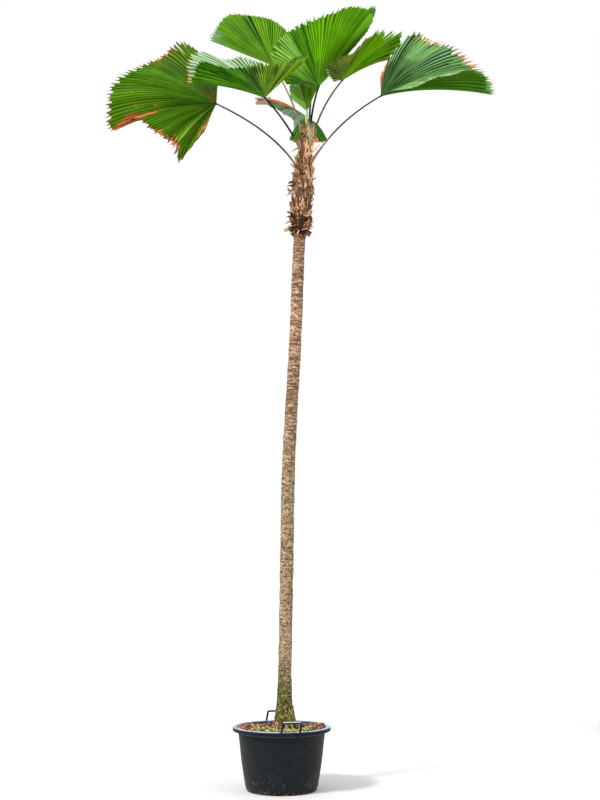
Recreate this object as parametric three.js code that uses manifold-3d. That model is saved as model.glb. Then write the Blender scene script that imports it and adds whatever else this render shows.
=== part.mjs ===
// Ruffled fan palm in a round nursery pot: millimetres, +Z up, origin at the centre of the pot's underside.
// The trunk rises from the soil, wears a collar of old leaf bases near its top, and carries nine fan fronds.
import * as THREE from "three";
import { mergeVertices } from "three/addons/utils/BufferGeometryUtils.js";
import Module from "manifold-3d";

const wasm = await Module();
wasm.setup();

// clearance between pieces that touch
const GAP = 0.3;

// moulded pot with a turned-out rim
const POT_HEIGHT = 411;
const FOOT_RADIUS = 232;
const BODY_LOW_RADIUS = 244;
const BODY_LOW_Z = 46;
const BODY_TOP_RADIUS = 288;
const RIM_UNDERSIDE_Z = 387;
const RIM_RADIUS = 325;
const RIM_INNER_RADIUS = 292;
const POT_WALL = 6;
const POT_FLOOR = 12;
const POT_SIDES = 48;

// potting soil, filled to a little below the rim
const SOIL_Z = 388;

// wire handles, one at the front and one at the back, each clipped under the rim
const HANDLE_WIDTH = 134;
const HANDLE_TOP_Z = 478;
const HANDLE_BAR = 11;
const HANDLE_LEAN = 17;
const HANDLE_TURN = 9.7;
const HOOK_REACH = 30;

// trunk: height, sideways place of the axis, and radius at each station from the soil to the growing tip
const TRUNK = [
  [SOIL_Z + GAP, 18, 94],
  [412, 18, 84],
  [445, 18, 73],
  [510, 18, 59],
  [600, 18, 49],
  [800, 21, 44],
  [1570, 33, 44],
  [2040, 40, 44],
  [2420, 56, 42],
  [2970, 87, 41],
  [3610, 112, 40],
  [4000, 135, 39],
  [4250, 149, 37],
  [4440, 161, 31],
  [4500, 166, 27],
];
const TRUNK_SIDES = 16;
const TRUNK_STEP = 130;
const ROOT_RIDGES = 7;

// old leaf bases: tiers of curved plates that hug the trunk and flare outwards and upwards
const TIER_FIRST_Z = 3742;
const TIER_RISE = 108;
const TIERS = 7;
const PLATES_PER_TIER = 3;
const TIER_TURN = 62;
const PLATE_HEIGHT = 165;
const PLATE_ANGLE = 112;
const PLATE_THICK = 8;
const PLATE_FLARE_LOW = 38;
const PLATE_FLARE_TOP = 19;

// fronds: leaf stalk, knob where the ribs meet, and pleated blade
const STALK_BASE_RADIUS = 8;
const STALK_TIP_RADIUS = 5;
const KNOB_RADIUS = 15;
const BLADE_THICK = 8;
const BLADE_STEPS = 4;
const PLEAT_DEPTH = 6;
const NOTCH = 0.05;

// Each frond has the foot of its stalk, the point its stalk bows towards, and the hub where its ribs meet.
// Its tips are the ends of a few ribs, measured from the hub, counterclockwise as its upper face is seen.
// Arch is how far a rib 600 long rises above the straight line to its tip.
const FRONDS = {
  left: {
    foot: [104.6, -5, 4230],
    bow: [-55, -60, 4480],
    hub: [-460, -150, 4645],
    arch: 30,
    pleats: 24,
    tips: [
      [0, 330, 400],
      [-290, 330, 590],
      [-440, 240, 430],
      [-630, 130, 300],
      [-750, 40, 150],
      [-760, -50, -20],
      [-720, -140, -230],
      [-570, -160, -180],
      [-410, -240, -290],
      [-280, -300, -420],
      [-220, -340, -550],
      [-150, -280, -420],
      [-70, -200, -270],
    ],
  },
  front_left: {
    foot: [118, -22, 4370],
    bow: [30, -190, 4505],
    hub: [-115, -420, 4585],
    arch: 30,
    pleats: 26,
    tips: [
      [-30, 330, 390],
      [-180, 340, 440],
      [-330, 280, 380],
      [-460, 200, 420],
      [-540, 80, 300],
      [-510, -60, 90],
      [-420, -260, 150],
      [-210, -400, 50],
      [-10, -460, 40],
      [280, -220, 180],
      [250, 0, 300],
      [110, 120, 270],
    ],
  },
  back_left: {
    foot: [134, 15, 4490],
    bow: [80, 110, 4775],
    hub: [-75, 250, 5085],
    arch: 30,
    pleats: 24,
    tips: [
      [230, -60, -100],
      [290, 20, 50],
      [230, 120, 200],
      [110, 240, 370],
      [-30, 300, 490],
      [-210, 300, 530],
      [-360, 220, 490],
      [-450, 100, 310],
      [-460, 20, 210],
    ],
  },
  front: {
    foot: [190, -26, 4470],
    bow: [205, -110, 4655],
    hub: [250, -250, 4730],
    arch: 30,
    pleats: 24,
    tips: [
      [-240, 220, 100],
      [-340, 180, 300],
      [-270, 60, 380],
      [-150, -120, 390],
      [-50, -240, 390],
      [140, -360, 400],
      [240, -340, 430],
      [340, -250, 450],
      [390, -130, 460],
      [290, 60, 360],
      [190, 150, 250],
    ],
  },
  front_right: {
    foot: [201, -12, 4400],
    bow: [250, -50, 4650],
    hub: [415, -120, 4825],
    arch: 30,
    pleats: 20,
    tips: [
      [-70, -250, -110],
      [-110, -390, -70],
      [-70, -430, -30],
      [100, -380, 80],
      [200, -250, 230],
      [290, -100, 330],
      [370, 0, 360],
      [450, 100, 390],
      [420, 200, 340],
      [340, 250, 260],
    ],
  },
  right: {
    foot: [199, -5, 4270],
    bow: [375, -25, 4565],
    hub: [690, -50, 4740],
    arch: 30,
    pleats: 26,
    tips: [
      [90, -400, -120],
      [290, -480, -80],
      [450, -440, -20],
      [610, -340, 50],
      [720, -240, 50],
      [780, -120, -50],
      [800, -20, 80],
      [740, 80, 220],
      [630, 170, 370],
      [530, 260, 490],
      [420, 330, 540],
      [290, 360, 640],
      [140, 350, 520],
      [10, 200, 230],
    ],
  },
  back: {
    foot: [164, 45, 4400],
    bow: [165, 90, 4585],
    hub: [185, 200, 4660],
    arch: 110,
    pleats: 18,
    tips: [
      [150, 350, -50],
      [30, 400, -50],
      [-90, 350, -60],
      [-150, 350, -30],
      [-110, 380, 50],
      [-120, 380, 120],
      [-260, 240, 170],
      [-400, 0, 160],
    ],
  },
  back_right: {
    foot: [188, 28, 4470],
    bow: [185, 140, 4820],
    hub: [240, 380, 5150],
    arch: 30,
    pleats: 22,
    tips: [
      [220, 60, 40],
      [290, 150, 250],
      [280, 230, 450],
      [160, 300, 530],
      [20, 320, 500],
      [-120, 300, 420],
      [-210, 220, 300],
      [-270, 120, 120],
      [-220, 20, -50],
    ],
  },
  young: {
    foot: [166, 0, 4502.6],
    bow: [165, -15, 4580],
    hub: [170, -20, 4640],
    arch: 0,
    pleats: 10,
    stalk: 11,
    tips: [
      [70, -60, 130],
      [30, -100, 110],
      [-10, -40, 150],
      [-50, 40, 210],
      [-120, 60, 220],
      [-120, 20, 110],
    ],
  },
};

const root = new THREE.Group();

function material(color, roughness) {
  return new THREE.MeshStandardMaterial({ color, roughness, metalness: 0 });
}

const POT_PLASTIC = material(0x24272a, 0.6);
const WIRE = material(0x2c3440, 0.5);
const SOIL = material(0x5c3a28, 0.95);
const BARK = material(0x8c7657, 0.9);
const FIBRE = material(0x7a5c3e, 0.9);
const STALK_GREEN = material(0x3f4a2a, 0.6);
const LEAF = material(0x4f8a1e, 0.55);

// Names a piece and hangs it in the group.
function add(name, geometry, finish) {
  const piece = new THREE.Mesh(geometry, finish);
  piece.name = name;
  root.add(piece);
}

// A closed geometry as a solid that can be joined and cut.
function solidOf(geometry) {
  const bare = geometry.clone();
  bare.deleteAttribute("normal");
  bare.deleteAttribute("uv");
  const merged = mergeVertices(bare, 1e-3);
  const vertProperties = new Float32Array(merged.attributes.position.array);
  const triVerts = new Uint32Array(merged.index.array);
  return new wasm.Manifold(new wasm.Mesh({ numProp: 3, vertProperties, triVerts }));
}

function geometryOf(solid) {
  const cut = solid.getMesh();
  const geometry = new THREE.BufferGeometry();
  geometry.setAttribute("position", new THREE.BufferAttribute(cut.vertProperties, 3));
  geometry.setIndex(new THREE.BufferAttribute(cut.triVerts, 1));
  geometry.computeVertexNormals();
  return geometry;
}

function degrees(angle) {
  return (angle * Math.PI) / 180;
}

// Straight-line reading of a list of [place, value, ...] rows.
function between(rows, place, column) {
  const last = rows.findIndex((row) => row[0] >= place);
  if (last === 0) return rows[0][column];
  if (last < 0) return rows[rows.length - 1][column];
  const low = rows[last - 1];
  const high = rows[last];
  const share = (place - low[0]) / (high[0] - low[0]);
  return low[column] + share * (high[column] - low[column]);
}

// Closed skin over rings of points: ring by ring, with a fan of triangles over each end.
function loft(rings) {
  const sides = rings[0].length;
  const points = rings.flat();
  const faces = [];
  for (let r = 0; r + 1 < rings.length; r++) {
    for (let k = 0; k < sides; k++) {
      const here = r * sides + k;
      const next = r * sides + ((k + 1) % sides);
      faces.push(here, next, next + sides, here, next + sides, here + sides);
    }
  }
  const foot = points.length;
  const mean = (ring) => ring.reduce((sum, p) => sum.add(p), new THREE.Vector3()).divideScalar(sides);
  points.push(mean(rings[0]), mean(rings[rings.length - 1]));
  const top = (rings.length - 1) * sides;
  for (let k = 0; k < sides; k++) {
    const next = (k + 1) % sides;
    faces.push(foot, next, k);
    faces.push(foot + 1, top + k, top + next);
  }
  return new THREE.BufferGeometry().setFromPoints(points).setIndex(faces);
}

// Closed slab between two sheets of points that share one grid: rows of equal length.
function slab(upper, lower) {
  const rows = upper.length;
  const across = upper[0].length;
  const points = [...upper.flat(), ...lower.flat()];
  const back = rows * across;
  const at = (row, column) => row * across + column;
  const faces = [];
  const quad = (a, b, c, d) => faces.push(a, b, c, a, c, d);
  for (let r = 0; r + 1 < rows; r++) {
    for (let c = 0; c + 1 < across; c++) {
      quad(at(r, c), at(r, c + 1), at(r + 1, c + 1), at(r + 1, c));
      quad(back + at(r, c), back + at(r + 1, c), back + at(r + 1, c + 1), back + at(r, c + 1));
    }
  }
  for (let r = 0; r + 1 < rows; r++) {
    const end = across - 1;
    quad(at(r, 0), at(r + 1, 0), back + at(r + 1, 0), back + at(r, 0));
    quad(at(r + 1, end), at(r, end), back + at(r, end), back + at(r + 1, end));
  }
  for (let c = 0; c + 1 < across; c++) {
    const end = rows - 1;
    quad(at(0, c + 1), at(0, c), back + at(0, c), back + at(0, c + 1));
    quad(at(end, c), at(end, c + 1), back + at(end, c + 1), back + at(end, c));
  }
  return new THREE.BufferGeometry().setFromPoints(points).setIndex(faces);
}

// Outer radius of the pot's wall at a height.
function potRadius(z) {
  const profile = [
    [0, FOOT_RADIUS],
    [BODY_LOW_Z, BODY_LOW_RADIUS],
    [RIM_UNDERSIDE_Z, BODY_TOP_RADIUS],
    [POT_HEIGHT, RIM_INNER_RADIUS + POT_WALL],
  ];
  return between(profile, z, 1);
}

// The pot is one moulding: flat underside, tapering wall, and a rim turned out into a flange with a lip.
function makePot() {
  const outline = [
    [0, 0],
    [FOOT_RADIUS, 0],
    [BODY_LOW_RADIUS, BODY_LOW_Z],
    [BODY_TOP_RADIUS, RIM_UNDERSIDE_Z],
    [RIM_RADIUS, RIM_UNDERSIDE_Z],
    [RIM_RADIUS, POT_HEIGHT - 5],
    [RIM_RADIUS - 5, POT_HEIGHT],
    [RIM_INNER_RADIUS, POT_HEIGHT],
    [potRadius(RIM_UNDERSIDE_Z) - POT_WALL, RIM_UNDERSIDE_Z],
    [potRadius(BODY_LOW_Z) - POT_WALL, BODY_LOW_Z],
    [potRadius(POT_FLOOR) - POT_WALL, POT_FLOOR],
    [0, POT_FLOOR],
  ];
  const profile = outline.map(([radius, z]) => new THREE.Vector2(radius, z));
  add("pot", new THREE.LatheGeometry(profile, POT_SIDES).rotateX(Math.PI / 2), POT_PLASTIC);
}

// The soil fills the pot up to a flat top, on which the trunk stands.
function makeSoil() {
  const inside = (z) => potRadius(z) - POT_WALL - GAP;
  const outline = [
    [0, POT_FLOOR + GAP],
    [inside(POT_FLOOR), POT_FLOOR + GAP],
    [inside(BODY_LOW_Z), BODY_LOW_Z],
    [inside(SOIL_Z) - 2 * GAP, SOIL_Z],
    [0, SOIL_Z],
  ];
  const profile = outline.map(([radius, z]) => new THREE.Vector2(radius, z));
  add("soil", new THREE.LatheGeometry(profile, POT_SIDES).rotateX(Math.PI / 2), SOIL);
}

// A handle is a bent bar in front of the rim, with two feet that hook in under the flange.
function makeHandle(name, turn, lean) {
  const half = HANDLE_WIDTH / 2;
  const low = RIM_UNDERSIDE_Z - GAP - HANDLE_BAR;
  const shift = (z) => (lean * (z - low)) / (HANDLE_TOP_Z - low);
  const corner = (x, z) => new THREE.Vector2(x + shift(z), z);
  const inner = half - HANDLE_BAR;
  const under = HANDLE_TOP_Z - HANDLE_BAR;
  const bar = new THREE.Shape([
    corner(-half, low),
    corner(-inner, low),
    corner(-inner, under),
    corner(inner, under),
    corner(inner, low),
    corner(half, low),
    corner(half, HANDLE_TOP_Z),
    corner(-half, HANDLE_TOP_Z),
  ]);
  const face = -(RIM_RADIUS + GAP);
  const bend = new THREE.ExtrudeGeometry(bar, { depth: HANDLE_BAR, bevelEnabled: false });
  let handle = solidOf(bend.rotateX(Math.PI / 2).translate(0, face, 0));
  for (const side of [-1, 1]) {
    const foot = new THREE.BoxGeometry(HANDLE_BAR, HOOK_REACH, HANDLE_BAR);
    const middle = side * (half - HANDLE_BAR / 2);
    foot.translate(middle, face + HOOK_REACH / 2 - 2, low + HANDLE_BAR / 2);
    handle = handle.add(solidOf(foot));
  }
  add(name, geometryOf(handle).rotateZ(degrees(turn)), WIRE);
}

function trunkRadius(z) {
  return between(TRUNK, z, 2);
}

function trunkAxis(z) {
  return between(TRUNK, z, 1);
}

// The trunk is a stack of level rings; ridges where the roots begin fade out above the soil.
function makeTrunk() {
  const base = TRUNK[0][0];
  const tip = TRUNK[TRUNK.length - 1][0];
  const heights = new Set(TRUNK.map((row) => row[0]));
  for (let z = 930; z < tip - TRUNK_STEP; z += TRUNK_STEP) heights.add(z);
  const rings = [...heights].sort((a, b) => a - b).map((z) => {
    const flare = Math.max(0, 1 - (z - base) / 130);
    return Array.from({ length: TRUNK_SIDES }, (_, k) => {
      const angle = (k * 2 * Math.PI) / TRUNK_SIDES;
      const radius = trunkRadius(z) * (1 + 0.1 * flare * Math.cos(ROOT_RIDGES * angle));
      return new THREE.Vector3(trunkAxis(z) + radius * Math.cos(angle), radius * Math.sin(angle), z);
    });
  });
  add("trunk", loft(rings), BARK);
}

// One old leaf base: a curved plate, tight to the trunk at its foot, flaring to a ragged top.
function leafBase(tier, plate) {
  const foot = TIER_FIRST_Z + tier * TIER_RISE;
  const share = tier / (TIERS - 1);
  const flare = PLATE_FLARE_LOW + share * (PLATE_FLARE_TOP - PLATE_FLARE_LOW);
  const middle = tier * TIER_TURN + plate * (360 / PLATES_PER_TIER);
  const columns = 6;
  const rows = 3;
  const sheet = (offset) =>
    Array.from({ length: rows + 1 }, (_, r) =>
      Array.from({ length: columns + 1 }, (_, c) => {
        const up = r / rows;
        const across = c / columns - 0.5;
        const ragged = 1 - 0.16 * ((c + plate) % 2) - 0.25 * Math.abs(across);
        const z = foot + PLATE_HEIGHT * up * ragged;
        const angle = degrees(middle + across * PLATE_ANGLE * (1 - 0.35 * up));
        const radius = trunkRadius(z) / Math.cos(Math.PI / TRUNK_SIDES) + GAP + flare * up + offset;
        const x = trunkAxis(z) + radius * Math.cos(angle);
        return new THREE.Vector3(x, radius * Math.sin(angle), z);
      }),
    );
  return solidOf(slab(sheet(PLATE_THICK), sheet(0)));
}

// Round stalk along its bow, thinner towards the hub, with the knob where the ribs meet.
function stalk(frond, spare) {
  const [foot, bow, hub] = [frond.foot, frond.bow, frond.hub].map((p) => new THREE.Vector3(...p));
  const curve = new THREE.QuadraticBezierCurve3(foot, bow, hub);
  const steps = 10;
  const sides = 8;
  const base = frond.stalk ?? STALK_BASE_RADIUS;
  const frames = curve.computeFrenetFrames(steps, false);
  const rings = Array.from({ length: steps + 1 }, (_, i) => {
    const centre = curve.getPointAt(i / steps);
    const radius = base + (i / steps) * (STALK_TIP_RADIUS - base) + spare;
    return Array.from({ length: sides }, (_, k) => {
      const angle = (k * 2 * Math.PI) / sides;
      const out = frames.normals[i].clone().multiplyScalar(Math.cos(angle) * radius);
      return out.addScaledVector(frames.binormals[i], Math.sin(angle) * radius).add(centre);
    });
  });
  const knob = new THREE.SphereGeometry(KNOB_RADIUS + spare, 12, 8).translate(hub.x, hub.y, hub.z);
  return solidOf(loft(rings)).add(solidOf(knob));
}

// Smooth curve through the rib tips, read at a place along the fan (cubic between neighbouring tips).
function tipAt(tips, places, place) {
  let k = 0;
  while (k + 2 < tips.length && place > places[k + 1]) k++;
  const slope = (i) => {
    const a = Math.max(0, i - 1);
    const b = Math.min(tips.length - 1, i + 1);
    return tips[b].clone().sub(tips[a]).divideScalar(places[b] - places[a]);
  };
  const width = places[k + 1] - places[k];
  const t = (place - places[k]) / width;
  return tips[k]
    .clone()
    .multiplyScalar((1 + 2 * t) * (1 - t) ** 2)
    .addScaledVector(slope(k), width * t * (1 - t) ** 2)
    .addScaledVector(tips[k + 1], t * t * (3 - 2 * t))
    .addScaledVector(slope(k + 1), width * t * t * (t - 1));
}

// Pleated blade: ribs fan out from the hub, folded up and down in turn, with a tooth at each fold.
function blade(frond) {
  const tips = frond.tips.map((p) => new THREE.Vector3(...p));
  const places = [0];
  for (let i = 1; i < tips.length; i++) places.push(places[i - 1] + tips[i].angleTo(tips[i - 1]));
  const whole = places[places.length - 1];
  const columns = frond.pleats * 2;
  const inner = KNOB_RADIUS + GAP;
  const upper = [];
  const lower = [];
  for (let c = 0; c <= columns; c++) {
    const place = (c / columns) * whole;
    const tip = tipAt(tips, places, place);
    const step = whole / 500;
    const ahead = tipAt(tips, places, Math.min(whole, place + step));
    const behind = tipAt(tips, places, Math.max(0, place - step));
    const normal = tip.clone().cross(ahead.sub(behind)).normalize();
    const length = tip.length();
    const reach = c % 2 ? 1 : 1 - NOTCH;
    const fold = c % 2 ? 1 : -1;
    const over = [];
    const under = [];
    for (let r = 0; r <= BLADE_STEPS; r++) {
      const share = inner / length + (reach - inner / length) * (r / BLADE_STEPS);
      const out = share * length;
      const half = (BLADE_THICK / 2) * Math.min(1, out / 80);
      const pleat = fold * (PLEAT_DEPTH / 2) * Math.min(1, out / 250);
      const point = tip.clone().multiplyScalar(share);
      point.z += frond.arch * 4 * (share - inner / length) * (1 - share) * (length / 600) ** 2;
      point.add(new THREE.Vector3(...frond.hub));
      over.push(point.clone().addScaledVector(normal, pleat + half));
      under.push(point.clone().addScaledVector(normal, pleat - half));
    }
    upper.push(over);
    lower.push(under);
  }
  return slab(upper, lower);
}

makePot();
makeSoil();
makeHandle("handle_front", HANDLE_TURN, HANDLE_LEAN);
makeHandle("handle_back", HANDLE_TURN + 180, -HANDLE_LEAN);
makeTrunk();

const clearance = Object.values(FRONDS).map((frond) => stalk(frond, 2 * GAP));
for (let tier = 0; tier < TIERS; tier++) {
  for (let plate = 0; plate < PLATES_PER_TIER; plate++) {
    let base = leafBase(tier, plate);
    for (const stem of clearance) base = base.subtract(stem);
    const largest = base.decompose().sort((a, b) => b.volume() - a.volume())[0];
    add(`leaf_base_${tier + 1}_${plate + 1}`, geometryOf(largest), FIBRE);
  }
}

for (const [name, frond] of Object.entries(FRONDS)) {
  add(`stalk_${name}`, geometryOf(stalk(frond, 0)), STALK_GREEN);
  add(`blade_${name}`, blade(frond), LEAF);
}

export default root;
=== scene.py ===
import math

import bpy
import numpy as np
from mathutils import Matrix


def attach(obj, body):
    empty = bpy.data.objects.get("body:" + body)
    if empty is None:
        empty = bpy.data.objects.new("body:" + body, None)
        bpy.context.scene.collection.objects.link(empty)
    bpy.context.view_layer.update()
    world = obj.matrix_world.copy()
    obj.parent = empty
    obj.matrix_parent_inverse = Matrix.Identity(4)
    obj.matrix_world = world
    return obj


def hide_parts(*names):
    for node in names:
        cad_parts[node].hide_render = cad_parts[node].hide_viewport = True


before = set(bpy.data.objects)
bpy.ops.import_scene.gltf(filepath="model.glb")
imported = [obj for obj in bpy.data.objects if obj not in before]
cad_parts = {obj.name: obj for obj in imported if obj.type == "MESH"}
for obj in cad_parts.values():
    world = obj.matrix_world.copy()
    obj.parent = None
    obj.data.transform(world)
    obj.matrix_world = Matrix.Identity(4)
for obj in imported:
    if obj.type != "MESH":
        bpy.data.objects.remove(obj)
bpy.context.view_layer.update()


# Studio
# A wide pale floor under even white light, with a soft sun on the left and a weaker fill on the right.
# The camera stands 8.5 m in front of the pot, a little under eye height, and looks up slightly.
MM = 0.001  # sizes below are in millimetres, Blender's unit is the metre
CAMERA_PLACE = (121 * MM, -8500 * MM, 1499 * MM)
CAMERA_TILT = 7.32
CAMERA_LENS = 56.26
FLOOR_HALF = 30.0
FLOOR_GREY = (0.66, 0.66, 0.66, 1.0)
FLOOR_ROUGHNESS = 0.9
SKY_WHITE = (1.0, 1.0, 1.0, 1.0)
SUNS = {
    "key": {"strength": 2.95, "softness": 10, "height": 42, "turn": -48},
    "fill": {"strength": 0.5, "softness": 30, "height": 35, "turn": 60},
}


def stand(name, data):
    """An object made of this data, put into the scene."""
    made = bpy.data.objects.new(name, data)
    bpy.context.scene.collection.objects.link(made)
    return made


camera = stand("camera", bpy.data.cameras.new("camera"))
camera.data.lens = CAMERA_LENS
camera.location = CAMERA_PLACE
camera.rotation_euler = (math.radians(90 + CAMERA_TILT), 0, 0)
bpy.context.scene.camera = camera

floor_paint = bpy.data.materials.new("floor_paint")
floor_paint.use_nodes = True
floor_shader = floor_paint.node_tree.nodes["Principled BSDF"]
floor_shader.inputs["Base Color"].default_value = FLOOR_GREY
floor_shader.inputs["Roughness"].default_value = FLOOR_ROUGHNESS
floor_corners = [(x * FLOOR_HALF, y * FLOOR_HALF, 0) for x, y in ((-1, -1), (1, -1), (1, 1), (-1, 1))]
floor = stand("floor", bpy.data.meshes.new("floor"))
floor.data.from_pydata(floor_corners, [], [(0, 1, 2, 3)])
floor.data.materials.append(floor_paint)

sky = bpy.data.worlds.new("sky")
sky.use_nodes = True
sky.node_tree.nodes["Background"].inputs["Color"].default_value = SKY_WHITE
sky.node_tree.nodes["Background"].inputs["Strength"].default_value = 1.0
bpy.context.scene.world = sky
bpy.context.scene.view_settings.view_transform = "Standard"

for name, sun in SUNS.items():
    lamp = stand(name, bpy.data.lights.new(name, "SUN"))
    lamp.data.energy = sun["strength"]
    lamp.data.angle = math.radians(sun["softness"])
    lamp.rotation_euler = (math.radians(90 - sun["height"]), 0, math.radians(sun["turn"]))


# Pot
# A round nursery container moulded in black polypropylene, wider at the top, with a turned-out rim.
# The wall is turned from one profile; the plastic is matt, dusty, scuffed low down and stained with soil.
RIM_RADIUS = 325
POT_SIDES = 144
POT_PROFILE = [  # radius and height, up the outside, over the rim and down the inside
    (222, 0), (228, 2), (232, 7), (235, 14), (235, 24), (240, 28), (243, 42), (246, 66), (251, 92),
    (258, 134), (265, 178), (272, 234), (279, 300), (285, 350), (287, 372), (289, 378), (297, 381),
    (316, 383), (322, 384), (325, 387), (325, 402), (323, 407), (319, 410), (314, 411), (301, 410),
    (296, 409), (292, 406), (289, 398), (283, 378), (277, 330), (266, 234), (252, 134), (240, 60), (228, 12),
]


def linear(colour, factor=1.0):
    """Linear colour with alpha from a screen colour's three bytes, times one factor or one for each byte."""
    byte = np.array(colour)
    channels = np.where(byte > 10, ((byte / 255 + 0.055) / 1.055) ** 2.4, byte / 3294.6) * factor
    return (*channels.tolist(), 1.0)


class Wire:
    """One output in a material. Arithmetic on it, from either side, adds Math nodes."""

    def __init__(self, finish, socket):
        self.finish = finish
        self.socket = socket

    def math(self, operation, *terms):
        return self.finish.node("Math", {"operation": operation}, dict(enumerate(terms)))

    def __add__(self, other):
        return self.math("ADD", self, other)

    def __sub__(self, other):
        return self.math("SUBTRACT", self, other)

    def __rsub__(self, other):
        return self.math("SUBTRACT", other, self)

    def __mul__(self, other):
        return self.math("MULTIPLY", self, other)

    def __truediv__(self, other):
        return self.math("DIVIDE", self, other)

    def clamp(self):
        return self.finish.node("Clamp", {}, {0: self})

    __radd__ = __add__
    __rmul__ = __mul__


class Finish:
    """A material under construction. node() adds any node and hands back one of its outputs."""

    def __init__(self, name):
        self.material = bpy.data.materials.new(name)
        self.material.use_nodes = True
        self.tree = self.material.node_tree
        self.tree.nodes.clear()

    def node(self, kind, settings, sockets, output=0):
        made = self.tree.nodes.new("ShaderNode" + kind)
        for key, value in settings.items():
            setattr(made, key, value)
        for key, value in sockets.items():
            if isinstance(value, Wire):
                self.tree.links.new(value.socket, made.inputs[key])
            else:
                made.inputs[key].default_value = value
        return Wire(self, made.outputs[output]) if made.outputs else None

    def mix(self, mask, first, second, how="MIX"):
        """Colour from first to second as mask goes from 0 to 1. Three bytes stand for a screen colour."""
        first, second = (linear(c) if isinstance(c, tuple) and len(c) == 3 else c for c in (first, second))
        return self.node("Mix", {"data_type": "RGBA", "blend_type": how}, {0: mask, 6: first, 7: second}, 2)

    def tone(self, colour, factors):
        """The colour with its red, green and blue multiplied by three factors."""
        return self.mix(1.0, colour, (*factors, 1), "MULTIPLY")

    def coats(self, colour, *layers):
        """The colour under any number of coats, each a mask and the colour that goes over the last one."""
        for mask, coat in layers:
            colour = self.mix(mask, colour, coat)
        return colour

    def place(self):
        """The point's place on the object, in metres."""
        return self.node("TexCoord", {}, {}, 3)

    def axis(self, number):
        """One coordinate of that place: 0 is to the right, 1 to the back, 2 up."""
        return self.node("SeparateXYZ", {}, {0: self.place()}, number)

    def mark(self, name):
        """A number stored on the mesh's points."""
        return self.node("Attribute", {"attribute_name": name}, {}, 2)

    def noise(self, stretch, scale, detail=3.0, roughness=0.55):
        """Cloudy noise on the object's own coordinates, stretched by the three factors."""
        place = self.node("Mapping", {}, {"Vector": self.place(), "Scale": stretch})
        sockets = {"Vector": place, "Scale": scale, "Detail": detail, "Roughness": roughness}
        return self.node("TexNoise", {}, sockets)

    def grain(self, across, along, detail, roughness, scale=1.0):
        """Noise that follows the surface, on two numbers stored there."""
        place = self.node("CombineXYZ", {}, {0: across, 1: along})
        sockets = {"Vector": place, "Scale": scale, "Detail": detail, "Roughness": roughness}
        return self.node("TexNoise", {}, sockets)

    def end(self, colour, roughness, bump=None, specular=0.5, more=None):
        """Closes the material with a Principled shader. bump is strength, depth in metres and height."""
        sockets = {"Base Color": colour, "Roughness": roughness, "Specular IOR Level": specular}
        if bump:
            sockets["Normal"] = self.node("Bump", {}, dict(zip(("Strength", "Distance", "Height"), bump)))
        shader = self.node("BsdfPrincipled", {}, sockets | (more or {}))
        self.node("OutputMaterial", {}, {"Surface": shader})
        return self.material


def step(wire, low, high):
    """0 below low, 1 above high, and a straight rise between."""
    return ((wire - low) / (high - low)).clamp()


def skin(rings):
    """Closed surfaces over rings of points, an array of (pieces, rings, sides, 3).

    Neighbouring rings are joined by quads, and a fan of triangles to its mean closes each end ring.
    """
    many, count, sides, _ = rings.shape
    ends = np.stack([rings[:, 0].mean(1), rings[:, -1].mean(1)], axis=1)
    points = np.concatenate([rings.reshape(many, -1, 3), ends], axis=1)
    row, side = np.meshgrid(np.arange(count - 1), np.arange(sides), indexing="ij")
    here = row * sides + side
    beside = row * sides + (side + 1) % sides
    quads = np.stack([here, beside, beside + sides, here + sides], axis=-1).reshape(-1, 4)
    side = np.arange(sides)
    after = (side + 1) % sides
    top = (count - 1) * sides
    foot_fan = np.stack([after, side, np.full(sides, count * sides)], axis=-1)
    top_fan = np.stack([top + side, top + after, np.full(sides, count * sides + 1)], axis=-1)
    shift = (np.arange(many) * points.shape[1])[:, None, None]
    fans = np.concatenate([foot_fan, top_fan])
    return points.reshape(-1, 3), [(quads + shift).reshape(-1, 4), (fans + shift).reshape(-1, 3)]


def new_piece(name, points, faces, material, slot, nodes=(), sharp=None, **marks):
    """Mesh object from points in millimetres and arrays of faces, turned so that its faces point outwards.

    marks are one number per point for the material. sharp is an array of point pairs whose edges stay crisp.
    The piece rides on the plant, stands for the named nodes, and takes its finish from the material. slot is
    not used.
    """
    triangles = np.concatenate([f[:, [0, k, k + 1]] for f in faces for k in range(1, f.shape[1] - 1)])
    a, b, c = (points[triangles[:, k]] for k in range(3))
    if (a * np.cross(b, c)).sum() < 0:
        faces = [f[:, ::-1] for f in faces]
    piece = stand(name, bpy.data.meshes.new(name))
    mesh = piece.data
    mesh.from_pydata((points * MM).tolist(), [], [face for f in faces for face in f.tolist()])
    mesh.polygons.foreach_set("use_smooth", np.ones(len(mesh.polygons), bool))
    for key, values in marks.items():
        layer = mesh.attributes.new(key, "FLOAT", "POINT")
        layer.data.foreach_set("value", np.asarray(values, np.float32))
    if sharp is not None:
        ends = np.zeros(len(mesh.edges) * 2, np.int64)
        mesh.edges.foreach_get("vertices", ends)
        edges, wanted = (np.sort(pairs.reshape(-1, 2), axis=1) @ [len(points), 1] for pairs in (ends, sharp))
        layer = mesh.attributes.new("sharp_edge", "BOOLEAN", "EDGE")
        layer.data.foreach_set("value", np.isin(edges, wanted))
    mesh.materials.append(material)
    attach(piece, "root")
    if nodes:
        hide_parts(*nodes)
    return piece


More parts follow.
